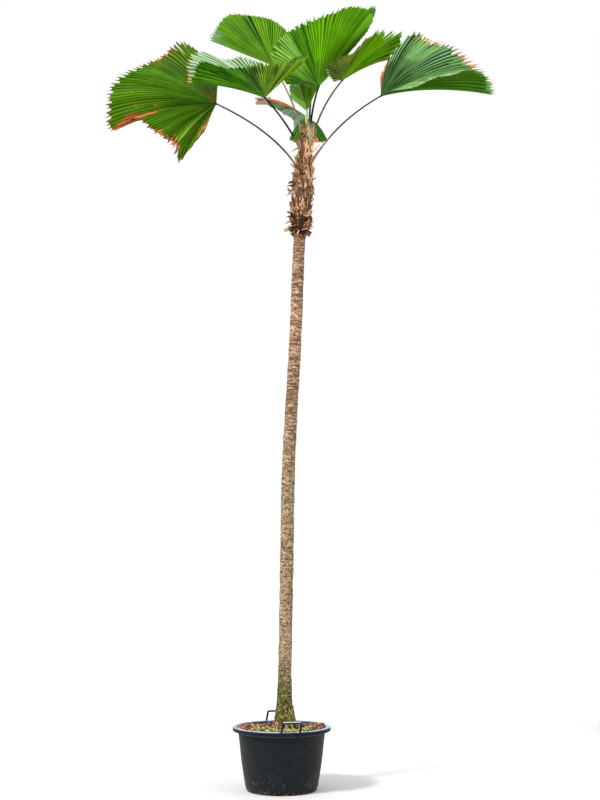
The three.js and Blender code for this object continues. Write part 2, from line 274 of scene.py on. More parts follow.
def pot_plastic():
    """Matt black plastic: mottled, scuffed low down, soil-stained near the floor, with painted shade on the
    foot under its step, the lip and inner wall painted bluish as a reflection of the sky, and a dusty rim
    top with a painted pale highlight, stronger in front.
    """
    finish = Finish("pot_plastic")
    height = finish.axis(2)
    mottle = finish.noise((1, 1, 1), 26, 5, 0.65)
    upright = finish.noise((14, 14, 1), 3, 3)
    scuffs = finish.noise((9, 9, 2.6), 8, 5, 0.75)
    grime = finish.noise((1, 1, 2.4), 34, 4, 0.65)
    specks = finish.noise((1, 1, 1), 70, 2, 0.5)
    grain = finish.noise((1, 1, 1), 420, 2)
    level = finish.node("VectorMath", {"operation": "MULTIPLY"}, {0: finish.place(), 1: (1, 1, 0)})
    radius = finish.node("VectorMath", {"operation": "LENGTH"}, {0: level}, 1)
    patchy = step(mottle, 0.3, 0.7)
    streaks = step(upright, 0.5, 0.8)
    low_scuffs = step(scuffs, 0.57, 0.67) * (1 - step(height, 0.02, 0.15))
    dust_specks = step(specks, 0.76, 0.8)
    foot = 1 - step(height, 0.018, 0.03)
    splash = step(grime - height * 5.5, 0.48, 0.56)
    collar = step(height, 0.371, 0.374) - step(height, 0.379, 0.382)
    flange = step(height, 0.383, 0.386)
    lip = step(height, 0.396, 0.402)
    inside = (1 - step(radius, 0.287, 0.291)) * step(height, 0.37, 0.38)
    lip_dust_and_highlight = step(height, 0.4068, 0.4088) * (0.4 + step(grime, 0.38, 0.6) * 0.55)
    far_side = step(finish.axis(1), 0.0, 0.2)
    colour = finish.coats(
        finish.mix(patchy, (6, 9, 10), (20, 26, 30)),
        (streaks * 0.15, (50, 54, 52)),
        (low_scuffs * 0.8, (128, 134, 136)),
        (dust_specks * 0.8, (120, 112, 84)),
        # painted shade on the foot, set back under its step
        (foot * 0.6, (4, 4, 4)),
        (splash * 0.9, finish.mix(step(specks, 0.4, 0.6), (70, 46, 28), (170, 126, 72))),
        (collar * 0.35, (84, 88, 88)),
        (flange * 0.8, (5, 8, 14)),
        # the lip: navy painted as a reflection of blue sky on the black plastic
        (lip, (6, 14, 48)),
        # the inner wall: a paler slate blue painted as a reflection of the sky
        (inside, finish.mix(patchy, (30, 42, 66), (64, 82, 108))),
        # the rim's top: dust with a painted pale highlight of the sky, paler on the near side
        (lip_dust_and_highlight, finish.mix(far_side, (182, 198, 214), (136, 154, 190))),
    )
    rough = 0.52 + mottle * 0.16 + splash * 0.2
    bump = (0.25, 0.001, grain + scuffs * 0.6)
    return finish.end(colour, rough, bump, 0.16, {"Sheen Weight": 0.06, "Sheen Roughness": 0.4})


angle = np.linspace(0, 2 * math.pi, POT_SIDES, endpoint=False)
radius, height = np.array(POT_PROFILE, float)[:, :, None].transpose(1, 0, 2)
pot_rings = np.stack([radius * np.cos(angle), radius * np.sin(angle), height + 0 * angle], axis=-1)
new_piece("nursery_pot", *skin(pot_rings[None]), pot_plastic(), "pot_plastic", ["pot"])


# Handles
# Two loops of plastic-covered bar, one in front and one behind, bent to a square top.
# Each stands up outside the rim, leans to one side, and hooks in under the flange with both feet.
HANDLE_BAR = 14
HANDLE_HALF = (134 - HANDLE_BAR) / 2
HANDLE_TOP = 478 - HANDLE_BAR / 2
HANDLE_BEND = 9
HANDLE_SIDES = 12
HANDLE_GAP = 0.3
HOOK_LENGTH = 30
HOOK_DROP = 4
FLANGE_UNDERSIDE = 387
HANDLES = {"front": {"turn": 9.7, "lean": 17}, "back": {"turn": 189.7, "lean": -17}}


def unit(vectors):
    """The vectors, held along the last axis, each made one long."""
    return vectors / np.linalg.norm(vectors, axis=-1, keepdims=True)


def sweep(path, radii, sides, flat=1.0):
    """Rings of points round a path, for skin(): each ring lies across the path's direction.

    A ring is centre + radius * (cos * across + sin * flat * up), and the two axes are carried along the
    path by taking out of the last ones what points along it.
    """
    path = np.asarray(path, float)
    along = unit(np.gradient(path, axis=0))
    start = np.cross(along[0], [0.0, 0.0, 1.0])
    if np.linalg.norm(start) < 0.1:
        start = np.cross(along[0], [0.0, 1.0, 0.0])
    across = [unit(start)]
    for direction in along[1:]:
        across.append(unit(across[-1] - direction * (across[-1] @ direction)))
    across = np.array(across)
    up = np.cross(across, along)
    angle = np.linspace(0, 2 * math.pi, sides, endpoint=False)
    ring = np.cos(angle)[None, :, None] * across[:, None] + flat * np.sin(angle)[None, :, None] * up[:, None]
    return path[:, None] + ring * np.asarray(radii, float).reshape(-1, 1, 1)


def rounded(corners, radius, steps=5):
    """The path through the corners with each inner corner replaced by a quadratic curve of that size."""
    corners = np.asarray(corners, float)
    points = [corners[:1]]
    share = np.linspace(0, 1, steps)[:, None]
    for before, corner, after in zip(corners, corners[1:], corners[2:]):
        into = corner + unit(before - corner) * radius
        out = corner + unit(after - corner) * radius
        points.append((1 - share) ** 2 * into + 2 * share * (1 - share) * corner + share**2 * out)
    points.append(corners[-1:])
    return np.concatenate(points)


def bar_plastic():
    """Blue-black plastic skin, worn paler in patches, with a white highlight painted along the top, strong
    on the front handle and faint on the back one.
    """
    finish = Finish("handle_plastic")
    wear = finish.noise((1, 1, 1), 60, 3)
    far_side = step(finish.axis(1), -0.1, 0.1)
    # painted highlight along the top of the bar, weaker behind
    painted_highlight = step(finish.axis(2), 0.4725, 0.476) * (0.95 - far_side * 0.7)
    blue_black = finish.mix(step(wear, 0.5, 0.8), (7, 11, 22), (30, 40, 66))
    return finish.end(finish.mix(painted_highlight, blue_black, (196, 208, 222)), 0.5, (0.2, 0.001, wear), 0.18)


handle_plastic = bar_plastic()
wall = -(RIM_RADIUS + HANDLE_GAP + HANDLE_BAR / 2)
hook = FLANGE_UNDERSIDE - HANDLE_GAP - HANDLE_BAR / 2 - HOOK_DROP
for name, way in HANDLES.items():
    corners = [
        (-HANDLE_HALF, wall + HOOK_LENGTH, hook),
        (-HANDLE_HALF, wall, hook),
        (-HANDLE_HALF + way["lean"], wall, HANDLE_TOP),
        (HANDLE_HALF + way["lean"], wall, HANDLE_TOP),
        (HANDLE_HALF, wall, hook),
        (HANDLE_HALF, wall + HOOK_LENGTH, hook),
    ]
    cosine, sine = math.cos(math.radians(way["turn"])), math.sin(math.radians(way["turn"]))
    path = rounded(corners, HANDLE_BEND) @ np.array([[cosine, sine, 0], [-sine, cosine, 0], [0, 0, 1]])
    rings = sweep(path, np.full(len(path), HANDLE_BAR / 2), HANDLE_SIDES)
    new_piece(f"{name}_handle", *skin(rings[None]), handle_plastic, "handle_wire", [f"handle_{name}"])


# Soil
# Loose potting mix of dark peat under bark chips, filled to just below the rim and heaped up on two sides,
# with patches of weed seedlings. The bed is one lumpy disc; chips and weeds are strewn on it at random.
SOIL_LEVEL = 388
SOIL_RADIUS = 282
SOIL_BUMP = 4
SOIL_SIDES = 120
SOIL_TOP = np.linspace(4, SOIL_RADIUS - 1, 46)  # radii of the rings over the top
SOIL_WALL = [(SOIL_RADIUS - 10, SOIL_LEVEL - 30), (240, 60), (222, 13)]  # radius and height, down the wall
HEAPS = [(272, 10, 100, 150, 27), (-255, 0, 110, 170, 14)]  # x, y, reach in x and in y, height
CHIPS = 4200
CHIP_SHADES = {"red": (156, 80, 54), "dark": (84, 48, 34), "tan": (208, 160, 124)}
CHIP_CLEAR = 80
PEAT = (92, 56, 38)
WEEDS = 190
WEED_LEAVES = 5
WEED_PATCHES = [  # x, y and spread in x and in y
    (-130, -60, 40, 60), (-90, -120, 60, 40), (20, -180, 75, 36), (60, -150, 60, 40), (150, -70, 30, 50),
]
TRUNK_FOOT = np.array([18.0, 0.0])
TRUNK_FOOT_RADIUS = 96


def ripple(seed, waves, *places):
    """Smooth noise between about -1 and 1: the mean of sine waves with seeded directions and phases.

    Each place is an array already scaled so that one unit is about one bump.
    """
    dice = np.random.default_rng(seed)
    total = 0
    for _ in range(waves):
        direction = dice.normal(size=len(places))
        direction *= dice.uniform(0.6, 1.5) / np.linalg.norm(direction)
        phase = dice.uniform(0, 2 * math.pi)
        total = total + np.sin(2 * math.pi * sum(d * p for d, p in zip(direction, places)) + phase)
    return total * math.sqrt(2 / waves)


def soil_level(x, y):
    """Height of the bed's top at a place: level + heaps + coarse and fine bumps."""
    level = SOIL_LEVEL + SOIL_BUMP * (ripple(3, 9, x / 60, y / 60) + 0.5 * ripple(4, 9, x / 18, y / 18))
    for middle_x, middle_y, wide, deep, height in HEAPS:
        level = level + height * np.exp(-(((x - middle_x) / wide) ** 2) - ((y - middle_y) / deep) ** 2)
    return level


def soil_bed():
    """Disc of soil: rings out from the middle over a bumpy top, down the wall and in under the bottom."""
    wall = np.array(SOIL_WALL, float)
    angle = np.linspace(0, 2 * math.pi, SOIL_SIDES, endpoint=False)
    out = np.concatenate([SOIL_TOP, wall[:, 0]])[:, None]
    x, y = out * np.cos(angle), out * np.sin(angle)
    top = len(SOIL_TOP)
    z = np.concatenate([soil_level(x[:top], y[:top]), np.repeat(wall[:, 1:], SOIL_SIDES, axis=1)])
    return np.stack([x, y, z], axis=-1)


def crumb(name, colour):
    """Dull organic surface of one colour, broken up by fine dark and light grain."""
    finish = Finish(name)
    grain = finish.noise((1, 1, 1), 160, 4, 0.7)
    shade = finish.mix(step(grain, 0.3, 0.7), linear(colour, 0.45), linear(colour))
    return finish.end(shade, 0.9, (0.7, 0.002, grain))


def scatter_on_soil(dice, count, clear, edge):
    """Random places on the disc, clear millimetres from the trunk's middle and edge from the soil's rim."""
    radius = (SOIL_RADIUS - edge) * np.sqrt(dice.uniform(0, 1, count * 2))
    angle = dice.uniform(0, 2 * math.pi, count * 2)
    spots = np.stack([radius * np.cos(angle), radius * np.sin(angle)], axis=1)
    return spots[np.linalg.norm(spots - TRUNK_FOOT, axis=1) > clear][:count]


def aim(heading, rise):
    """Directions by heading and rise above level, in radians, and the level directions to their left."""
    out = np.stack([np.cos(heading) * np.cos(rise), np.sin(heading) * np.cos(rise), np.sin(rise)], axis=1)
    return out, np.stack([-np.sin(heading), np.cos(heading), 0 * heading], axis=1)


def turned_axes(dice, count, tilt):
    """Random right-handed axes, an array of (count, 3, 3), whose third axis leans by up to tilt radians."""
    heading = dice.uniform(0, 2 * math.pi, count)
    lean = dice.uniform(-tilt, tilt, count)
    side = dice.uniform(0, 2 * math.pi, count)
    up = np.stack([np.sin(lean) * np.cos(side), np.sin(lean) * np.sin(side), np.cos(lean)], axis=1)
    first = np.stack([np.cos(heading), np.sin(heading), np.zeros(count)], axis=1)
    first = unit(first - up * (first * up).sum(1)[:, None])
    return np.stack([first, np.cross(up, first), up], axis=1)


def chips(seed, count):
    """Split flakes of bark: four rings of six points, longer than wide and thin, tapered and jittered."""
    dice = np.random.default_rng(seed)
    spots = scatter_on_soil(dice, count, CHIP_CLEAR, 3)
    count = len(spots)
    size = np.stack([dice.uniform(*limits, count) for limits in ((7, 19), (4, 9), (1.2, 3.4))], axis=1)
    angle = np.arange(6) * math.pi / 3
    along = np.array([-1.0, -0.55, 0.5, 1.0])[:, None]
    wide = np.array([0.35, 1.0, 0.85, 0.25])[:, None]
    local = np.stack([along + 0 * angle, wide * np.cos(angle), wide * np.sin(angle)], axis=-1)
    local = (local[None] + dice.uniform(-0.18, 0.18, (count, 4, 6, 3))) * size[:, None, None]
    rings = np.einsum("nrsk,nkc->nrsc", local, turned_axes(dice, count, 0.7))
    middle = np.column_stack([spots, soil_level(*spots.T) + size[:, 1] * 0.35])
    return rings + middle[:, None, None]


def seedlings(seed):
    """Weed leaves, five to a root: base + length * (share * out - 0.3 share^2 * up), as thin diamonds."""
    dice = np.random.default_rng(seed)
    patch = np.array(WEED_PATCHES, float)[dice.integers(0, len(WEED_PATCHES), WEEDS)]
    near = patch[:, :2] + dice.normal(0, 1, (WEEDS, 2)) * patch[:, 2:]
    spots = np.concatenate([near, scatter_on_soil(dice, WEEDS // 6, 110, 30)])
    spots = spots[np.linalg.norm(spots - TRUNK_FOOT, axis=1) > TRUNK_FOOT_RADIUS]
    spots = spots[np.linalg.norm(spots, axis=1) < SOIL_RADIUS - 16]
    count = len(spots) * WEED_LEAVES
    base = np.repeat(spots, WEED_LEAVES, axis=0)
    base = np.column_stack([base, soil_level(*base.T) + 2])
    heading = dice.uniform(0, 2 * math.pi, count)
    rise = dice.uniform(0.3, 1.3, count)
    length = dice.uniform(12, 32, count)[:, None, None]
    out, side = aim(heading, rise)
    share = np.array([0.0, 0.3, 0.65, 1.0])[None, :, None]
    width = np.array([0.04, 0.3, 0.26, 0.02])[None, :, None, None]
    angle = (np.arange(4) * math.pi / 2)[None, None, :, None]
    centre = base[:, None] + length * (share * out[:, None] - 0.3 * share**2 * np.array([0, 0, 1.0]))
    across = np.cos(angle) * side[:, None, None] * width
    thick = 0.12 * np.sin(angle) * np.cross(out, side)[:, None, None] * width
    return centre[:, :, None] + length[..., None] * (across + thick)


def weed_leaf():
    """Thin young leaf, from olive to a bright yellow-green."""
    finish = Finish("weed_leaf")
    shade = step(finish.noise((1, 1, 1), 30, 3), 0.36, 0.62)
    return finish.end(finish.mix(shade, (112, 126, 38), (206, 214, 118)), 0.6)


new_piece("soil_bed", *skin(soil_bed()[None]), crumb("peat", PEAT), "soil", ["soil"])
for number, (shade, colour) in enumerate(CHIP_SHADES.items()):
    flakes = chips(20 + number, CHIPS // len(CHIP_SHADES))
    new_piece(f"bark_chips_{shade}", *skin(flakes), crumb(f"chip_{shade}", colour), "soil")
new_piece("weed_seedlings", *skin(seedlings(31)), weed_leaf(), "soil")


# Trunk
# A single slender palm stem, closely ringed with old leaf scars, leaning right and bending on its way up. It
# flares into mossy root ridges at the soil, with short root stubs in front and loose bark slivers on them.
# The bark is worked out ring by ring; each stub and sliver is swept along a short path on it.
TRUNK = np.array([  # height, sideways place of the middle, radius
    (388.3, 18, 94), (412, 18, 84), (445, 18, 73), (510, 18, 59), (600, 18, 49), (800, 21, 44),
    (1570, 33, 44), (2040, 40, 44), (2420, 56, 42), (2970, 87, 41), (3610, 112, 40), (4000, 135, 39),
    (4250, 149, 37), (4440, 161, 31), (4500, 166, 27),
])
TRUNK_ROWS = 1150
TRUNK_SIDES = 72
RING_PITCH = 23
RING_SWELL = 1.3
SCAR_DEPTH = 2.2
SCAR_WIDTH = 0.17
CRACK_DEPTH = 2.5
LUMPS = 1.1
GRAIN = 0.5
ROOT_RIDGES = 7
ROOT_RIDGE_DEPTH = 0.12
ROOT_HEIGHT = 130
ROOT_STUBS = 60
SLIVERS = 54


def curve_through(places, values, at):
    """Smooth curve through values at places, read at other places: cubic Hermite between neighbours.

    The slope at a point is that of the line between its two neighbours, and one-sided at the ends.
    """
    places = np.asarray(places, float)
    values = np.asarray(values, float).reshape(len(places), -1)
    low = np.maximum(np.arange(len(places)) - 1, 0)
    high = np.minimum(np.arange(len(places)) + 1, len(places) - 1)
    slope = (values[high] - values[low]) / (places[high] - places[low])[:, None]
    k = np.clip(np.searchsorted(places, at, side="right") - 1, 0, len(places) - 2)
    width = (places[k + 1] - places[k])[:, None]
    t = (np.asarray(at) - places[k])[:, None] / width
    return (
        (1 + 2 * t) * (1 - t) ** 2 * values[k]
        + width * t * (1 - t) ** 2 * slope[k]
        + t * t * (3 - 2 * t) * values[k + 1]
        + width * t * t * (t - 1) * slope[k + 1]
    )


def trunk_radius(z):
    """Mean radius of the trunk at a height."""
    return np.interp(z, TRUNK[:, 0], TRUNK[:, 2])


def on_trunk(z, radius, angle):
    """Points at heights, at distances from the trunk's middle there, and at angles round it."""
    middle = np.interp(z, TRUNK[:, 0], TRUNK[:, 1])
    return np.stack([middle + radius * np.cos(angle), radius * np.sin(angle), z], axis=-1)


def trunk_rings():
    """Trunk surface: radius = taper * (1 + root ridges) + lumps + swell - ring scars - cracks + grain.

    The rings stand round a leaning axis, and the scars wander up and down as they go round. Returns the
    rings and, for the material, how deep each point lies in a scar or crack.
    """
    z = np.linspace(TRUNK[0, 0], TRUNK[-1, 0], TRUNK_ROWS)
    axis, radius = curve_through(TRUNK[:, 0], TRUNK[:, 1:], z).T
    angle = np.linspace(0, 2 * math.pi, TRUNK_SIDES, endpoint=False)
    height, angle = np.meshgrid(z, angle, indexing="ij")
    u, v = np.cos(angle), np.sin(angle)
    foot = np.clip(1 - (height - z[0]) / ROOT_HEIGHT, 0, 1)
    wavy = 0.6 * ripple(5, 5, u, v, height / 80)
    ridges = ROOT_RIDGE_DEPTH * foot * np.cos(ROOT_RIDGES * angle + wavy)
    lumps = LUMPS * ripple(6, 10, u * 1.2, v * 1.2, height / 150)
    wander = 0.5 * ripple(7, 8, u, v, height / 170) + 0.22 * ripple(8, 8, u * 2.4, v * 2.4, height / 60)
    phase = (height / RING_PITCH + wander) % 1.0
    broken = 0.5 + 0.6 * ripple(9, 12, u * 1.8, v * 1.8, height / 26)
    scar = np.exp(-(((phase - 0.5) / SCAR_WIDTH) ** 2)) * np.clip(broken, 0, 1.3)
    crack = np.clip(ripple(10, 14, u * 4.5, v * 4.5, height / 60) - 1.35, 0, 0.7)
    grain = GRAIN * ripple(11, 14, u * 6, v * 6, height / 9)
    swell = RING_SWELL * np.sin(math.pi * phase)
    out = radius[:, None] * (1 + ridges) + lumps + swell - SCAR_DEPTH * scar - CRACK_DEPTH * crack + grain
    return np.stack([axis[:, None] + out * u, out * v, height], axis=-1), np.clip(scar, 0, 1) + crack


def palm_bark():
    """Tan ringed bark: dark broken scars, darkest in their grooves and in the cracks as painted shade, pale
    worn bands, dark blotches, pinker up high, mossy low down.
    """
    finish = Finish("palm_bark")
    height = finish.axis(2)
    right = finish.axis(0)
    depth = finish.mark("depth")
    cloud = finish.noise((1, 1, 0.4), 7, 3, 0.55)
    blotch = finish.noise((1, 1, 1.5), 52, 3, 0.6)
    pale_blotch = finish.noise((1, 1, 1.7), 44, 3, 0.6)
    band = finish.noise((0.7, 0.7, 5), 20, 3, 0.6)
    streak = finish.noise((1, 1, 0.25), 90, 3, 0.6)
    high = step(height + (cloud - 0.5), 1.9, 3.1)
    banded = 0.3 + high * 1.2
    worn = step(pale_blotch + (band - 0.5) * banded, 0.5, 0.62)
    # dark scar colour, deepened with painted shade where the scar groove or crack is deepest
    scar_colour_and_shade = (depth * (0.6 + high * 0.3)).clamp()
    dark = step(blotch + (0.5 - band) * banded + (streak - 0.5) * 0.3, 0.53, 0.63)
    low = 1 - step(height, 0.5, 1.0) - right * 3.5
    moss = step(low + (cloud - 0.5) * 0.9 + (blotch - 0.5) * 0.7, 0.3, 0.68)
    root = 1 - step(height + right * 0.5 + (blotch - 0.5) * 0.12, 0.4, 0.45)
    green = finish.mix(step(streak * 0.4 + blotch * 0.6, 0.38, 0.52), (150, 150, 62), (90, 102, 14))
    green = finish.mix(step(pale_blotch * 0.7 + streak * 0.3, 0.46, 0.58), (44, 48, 8), green)
    wood = finish.mix(step(streak * 0.5 + blotch * 0.5, 0.38, 0.52), (184, 138, 110), (60, 34, 24))
    fibre = finish.mix(step(streak, 0.35, 0.7), (60, 38, 24), (150, 110, 76))
    bark = finish.coats(
        finish.mix(cloud, (124, 102, 76), (164, 141, 110)),
        (high, finish.mix(cloud, (142, 106, 82), (178, 144, 116))),
        (worn * 0.8, finish.mix(high, (204, 184, 150), (204, 174, 146))),
        (scar_colour_and_shade, (92, 66, 48)),
        (dark * 0.85, finish.mix(high, (74, 56, 38), (96, 64, 48))),
    )
    colour = finish.coats(
        bark,
        (step(height, 3.35, 3.75) * 0.5, finish.tone(bark, (0.6, 0.48, 0.4))),
        (moss * 0.85, green),
        (root * 0.85, wood),
        (step(height, 3.745, 3.775), fibre),
    )
    rise = worn * 0.5 - dark * 0.7 + streak * 0.3 - depth * 0.6
    return finish.end(colour, 0.88, (0.9, 0.004, rise), 0.12)


def root_stubs(seed):
    """Short roots round the left and front of the foot: each leaves the bark, bends down and thins out."""
    dice = np.random.default_rng(seed)
    share = np.linspace(0, 1, 6)
    tubes = []
    for _ in range(ROOT_STUBS):
        heading = math.radians(dice.uniform(150, 335))
        z = dice.uniform(402, 462) * (1 - share) + 376 * share
        reach = trunk_radius(z) - 5 + dice.uniform(6, 22) * share**1.5
        swing = dice.uniform(-16, 16) * share**2
        path = on_trunk(z, reach, heading) + np.outer(swing, [-math.sin(heading), math.cos(heading), 0])
        tubes.append(sweep(path, dice.uniform(4, 9) * (1 - 0.35 * share), 7, 0.8))
    return np.array(tubes)


def slivers(seed):
    """Loose bark fibres that cross each other on the front right of the foot, each a thin flat strip."""
    dice = np.random.default_rng(seed)
    share = np.linspace(-0.5, 0.5, 5)
    tubes = []
    for _ in range(SLIVERS):
        slant = dice.choice([-1, 1]) * dice.uniform(0.35, 0.9)
        length = dice.uniform(36, 84)
        z = dice.uniform(425, 520) + length * math.cos(slant) * share
        reach = trunk_radius(z) + dice.uniform(-1, 4)
        heading = math.radians(dice.uniform(-85, -5)) + length * math.sin(slant) * share / 75
        tubes.append(sweep(on_trunk(z, reach, heading), np.full(5, dice.uniform(2, 4.6)), 6, 0.6))
    return np.array(tubes)


def foot_fibre():
    """Root and bark fibre by each strip's shade: 0 to 1 is nearly black to straw, 1 to 2 is mossy. The
    darkest strips stand for painted shadow in the gaps among the roots and slivers.
    """
    finish = Finish("foot_fibre")
    shade = finish.mark("shade")
    grain = finish.noise((1, 1, 0.2), 130, 3, 0.6)
    colour = finish.coats(
        finish.mix(step(shade, 0.25, 0.5), (26, 15, 10), (140, 90, 68)),
        (step(shade, 0.6, 0.95), (200, 156, 124)),
        (step(shade, 1.0, 1.2), (38, 34, 8)),
        (step(shade, 1.45, 1.6), (178, 168, 100)),
        (step(grain, 0.35, 0.65) * 0.4, (60, 44, 26)),
    )
    return finish.end(colour, 0.85, specular=0.1)


rings, depth = trunk_rings()
trunk_depth = np.append(depth.ravel(), [0, 0])
new_piece("palm_trunk", *skin(rings[None]), palm_bark(), "bark", ["trunk"], depth=trunk_depth)
foot_strip = foot_fibre()
for name, tubes, low, high in (("root_stubs", root_stubs(61), 0, 1), ("bark_slivers", slivers(62), 1.2, 2)):
    points, faces = skin(tubes)
    shades = np.random.default_rng(63).uniform(low, high, len(tubes))
    new_piece(name, points, faces, foot_strip, "bark", shade=np.repeat(shades, len(points) // len(tubes)))


# Old leaf bases
# What is left of fallen fronds: seven tiers of three woody sheaths that hug the trunk and flare at the top,
# over a sleeve of matted fibre. Each is torn along its edge, keeps the stump of its stalk, and sheds husks,
# flaps and loose fibre. A papery sheath round the newest stalks closes the column at the top.
TIER_FIRST = 3742
TIER_RISE = 108
TIERS = 7
PER_TIER = 3
TIER_TURN = 62
SHEATH_HEIGHT = 165
SHEATH_ANGLE = 112
SHEATH_GRID = (26, 73)
SHEATH_THICK = 2.2
FOOT_THICK = 1.5
STAVES = 6
STAVE_GAP = 0.07
STUMP_WIDTH = 0.13
STUMP_THICK = 5
TORN_TOP = (-0.3, 0.24)  # for each stave, as the next three: how much higher or lower than the rest it ends,
STAVE_STEP = (-8, 7)  # how far it stands off,
TOP_CURL = (-60, 44)  # how far its top curls in or out,
SPLIT_FROM = (0.15, 0.55)  # and from what share of its height it has split from the next one
FLARE_LOW = 38
FLARE_TOP = 19
SHEATH_SHADES = [(226, 178, 136), (196, 146, 108), (238, 194, 152), (172, 124, 92), (216, 168, 128)]
MAT_TOP = 4506
MAT_GRID = (90, 72)
COLUMN = np.array([  # height, and how far the column stands out there as a share of its full width
    (3760, 0.15), (3811, 0.45), (3868, 0.7), (3927, 0.88), (4015, 1.0), (4104, 0.92), (4163, 0.78),
    (4251, 0.42), (4290, 0.34), (4343, 0.3), (4403, 0.36), (4530, 0.5),
])
YOUNG_SHEATH = {"x": 163, "foot": 4362, "height": 156, "radius": 40, "flare": 10, "lean": 17}
YOUNG_SHEATH_GRID = (30, 97)
YOUNG_SHEATH_THICK = 1.6
# Small husks by shade: screen colour, seed, number. The two spreads say where they sit: lowest and highest
# place, stand-off, turn to the side, and the ranges of rise in radians, of length and of half width.
SHINGLES = {
    "pale": ((238, 194, 150), 79, 100),
    "tan": ((206, 156, 114), 80, 100),
    "brown": ((138, 94, 68), 81, 100),
}
SHINGLE_SPREAD = (3860, 4400, 25, 0.5, (1.25, 1.56), (30, 70), (7, 14))
NEST = {"dark": ((76, 45, 36), 84, 130), "pale": ((214, 160, 120), 85, 43)}
NEST_SPREAD = (3742, 3880, 26, 1.3, (-0.7, 1.2), (24, 56), (7, 14))
HUSK_SAG = (-0.1, 0.3)
HUSK_TWIST = (-0.7, 0.7)
HUSK_SHARPNESS = (0.1, 1)
FIBRES = 120
FIBRE_BROWN = (104, 70, 46)
# Large flaps by shade: height, heading of the foot and of the tip, rise, length, half width, sag, twist.
FLAP_SHADES = {"pale": (232, 186, 148), "dark": (120, 76, 60), "white": (240, 226, 204)}
FLAPS = {
    "pale": [
        (3800, 190, 182, -10, 84, 15, 0.1, 75), (3858, 185, 180, -15, 70, 7, 0.2, 60),
        (3830, 350, 0, -20, 52, 9, 0.3, 60), (4215, 200, 184, 64, 74, 11, 0.3, 60),
        (4160, 340, 4, 78, 92, 12, 0.1, 60), (4285, 275, 0, 62, 150, 10, 0.05, 85),
        (4300, 300, 0, 50, 150, 8, 0.05, 80), (4020, 205, 184, 70, 84, 12, 0.25, 50),
        (3960, 330, 350, 66, 70, 11, 0.2, 40), (3850, 90, 90, 10, 56, 9, 0.5, 30),
        (3800, 120, 110, -30, 52, 11, 0.3, 20), (4020, 80, 80, 40, 66, 10, 0.5, 30),
        (3780, 260, 230, -50, 50, 12, 0.3, 20), (3940, 275, 280, 75, 64, 13, 0.3, 0),
        (4080, 255, 250, 78, 60, 13, 0.3, 10), (4190, 290, 300, 80, 60, 12, 0.2, 0),
    ],
    "dark": [
        (4378, 190, 190, 15, 52, 6, 0.9, 45), (4132, 185, 185, 12, 52, 11, 0.4, 70),
        (4112, 200, 188, -25, 40, 11, 0.3, 70), (4082, 182, 180, 0, 56, 8, 0.9, 45),
        (4075, 0, 0, -20, 44, 9, 0.7, 50), (3900, 182, 180, 45, 50, 8, 0.3, 60),
        (3882, 188, 180, 15, 46, 8, 0.3, 60), (3790, 200, 184, 5, 48, 8, 0.2, 60),
        (3806, 345, 0, 0, 48, 5, 0.1, 60), (3770, 352, 350, -35, 44, 8, 0.5, 40),
        (4140, 355, 10, 60, 50, 6, 0.4, 50), (4200, 160, 160, 40, 44, 7, 0.5, 30),
        (3900, 60, 60, 45, 64, 8, 0.5, 20), (4110, 176, 178, 40, 44, 8, 0.9, 40),
    ],
    "white": [
        (4296, 340, 10, 55, 40, 8, 0.2, 70), (4035, 215, 190, 70, 44, 9, 0.2, 40),
        (4130, 325, 10, 70, 40, 8, 0.1, 50), (4218, 275, 300, 60, 34, 8, 0.4, 20),
        (3990, 225, 240, 80, 60, 9, 0.2, 10), (4080, 90, 100, 60, 44, 9, 0.3, 20),
    ],
}


def stand_off(z):
    """How far the column stands out at a height, as a share of its full width."""
    return np.interp(z, *COLUMN.T)


def thicken(points, normals, quads, thickness):
    """Closed solid from an open sheet: the sheet moved out by half the thickness, its other side, and walls.

    A wall stands on each edge that only one face uses. Returns points, faces and the pairs of rim points.
    """
    edges = np.concatenate([quads[:, [k, (k + 1) % 4]] for k in range(4)])
    key = np.sort(edges, axis=1) @ np.array([len(points), 1])
    _, first, count = np.unique(key, return_index=True, return_counts=True)
    rim = edges[first[count == 1]]
    half_thick = np.broadcast_to(np.asarray(thickness, float) / 2, len(points))[:, None]
    both = np.concatenate([points + normals * half_thick, points - normals * half_thick])
    other = len(points)
    walls = np.stack([rim[:, 1], rim[:, 0], rim[:, 0] + other, rim[:, 1] + other], axis=1)
    return both, [np.concatenate([quads, quads[:, ::-1] + other, walls])], np.concatenate([rim, rim + other])


def grid_quads(rows, columns):
    """Faces between neighbouring points of a grid with that many rows and columns."""
    row, column = np.meshgrid(np.arange(rows - 1), np.arange(columns - 1), indexing="ij")
    here = (row * columns + column).ravel()
    return np.stack([here, here + 1, here + columns + 1, here + columns], axis=1)


def sheet_marks(used, **marks):
    """The marks of a grid's used points, given to both faces of the solid that thicken() makes of them."""
    return {key: np.tile(value.ravel()[used], 2) for key, value in marks.items()}


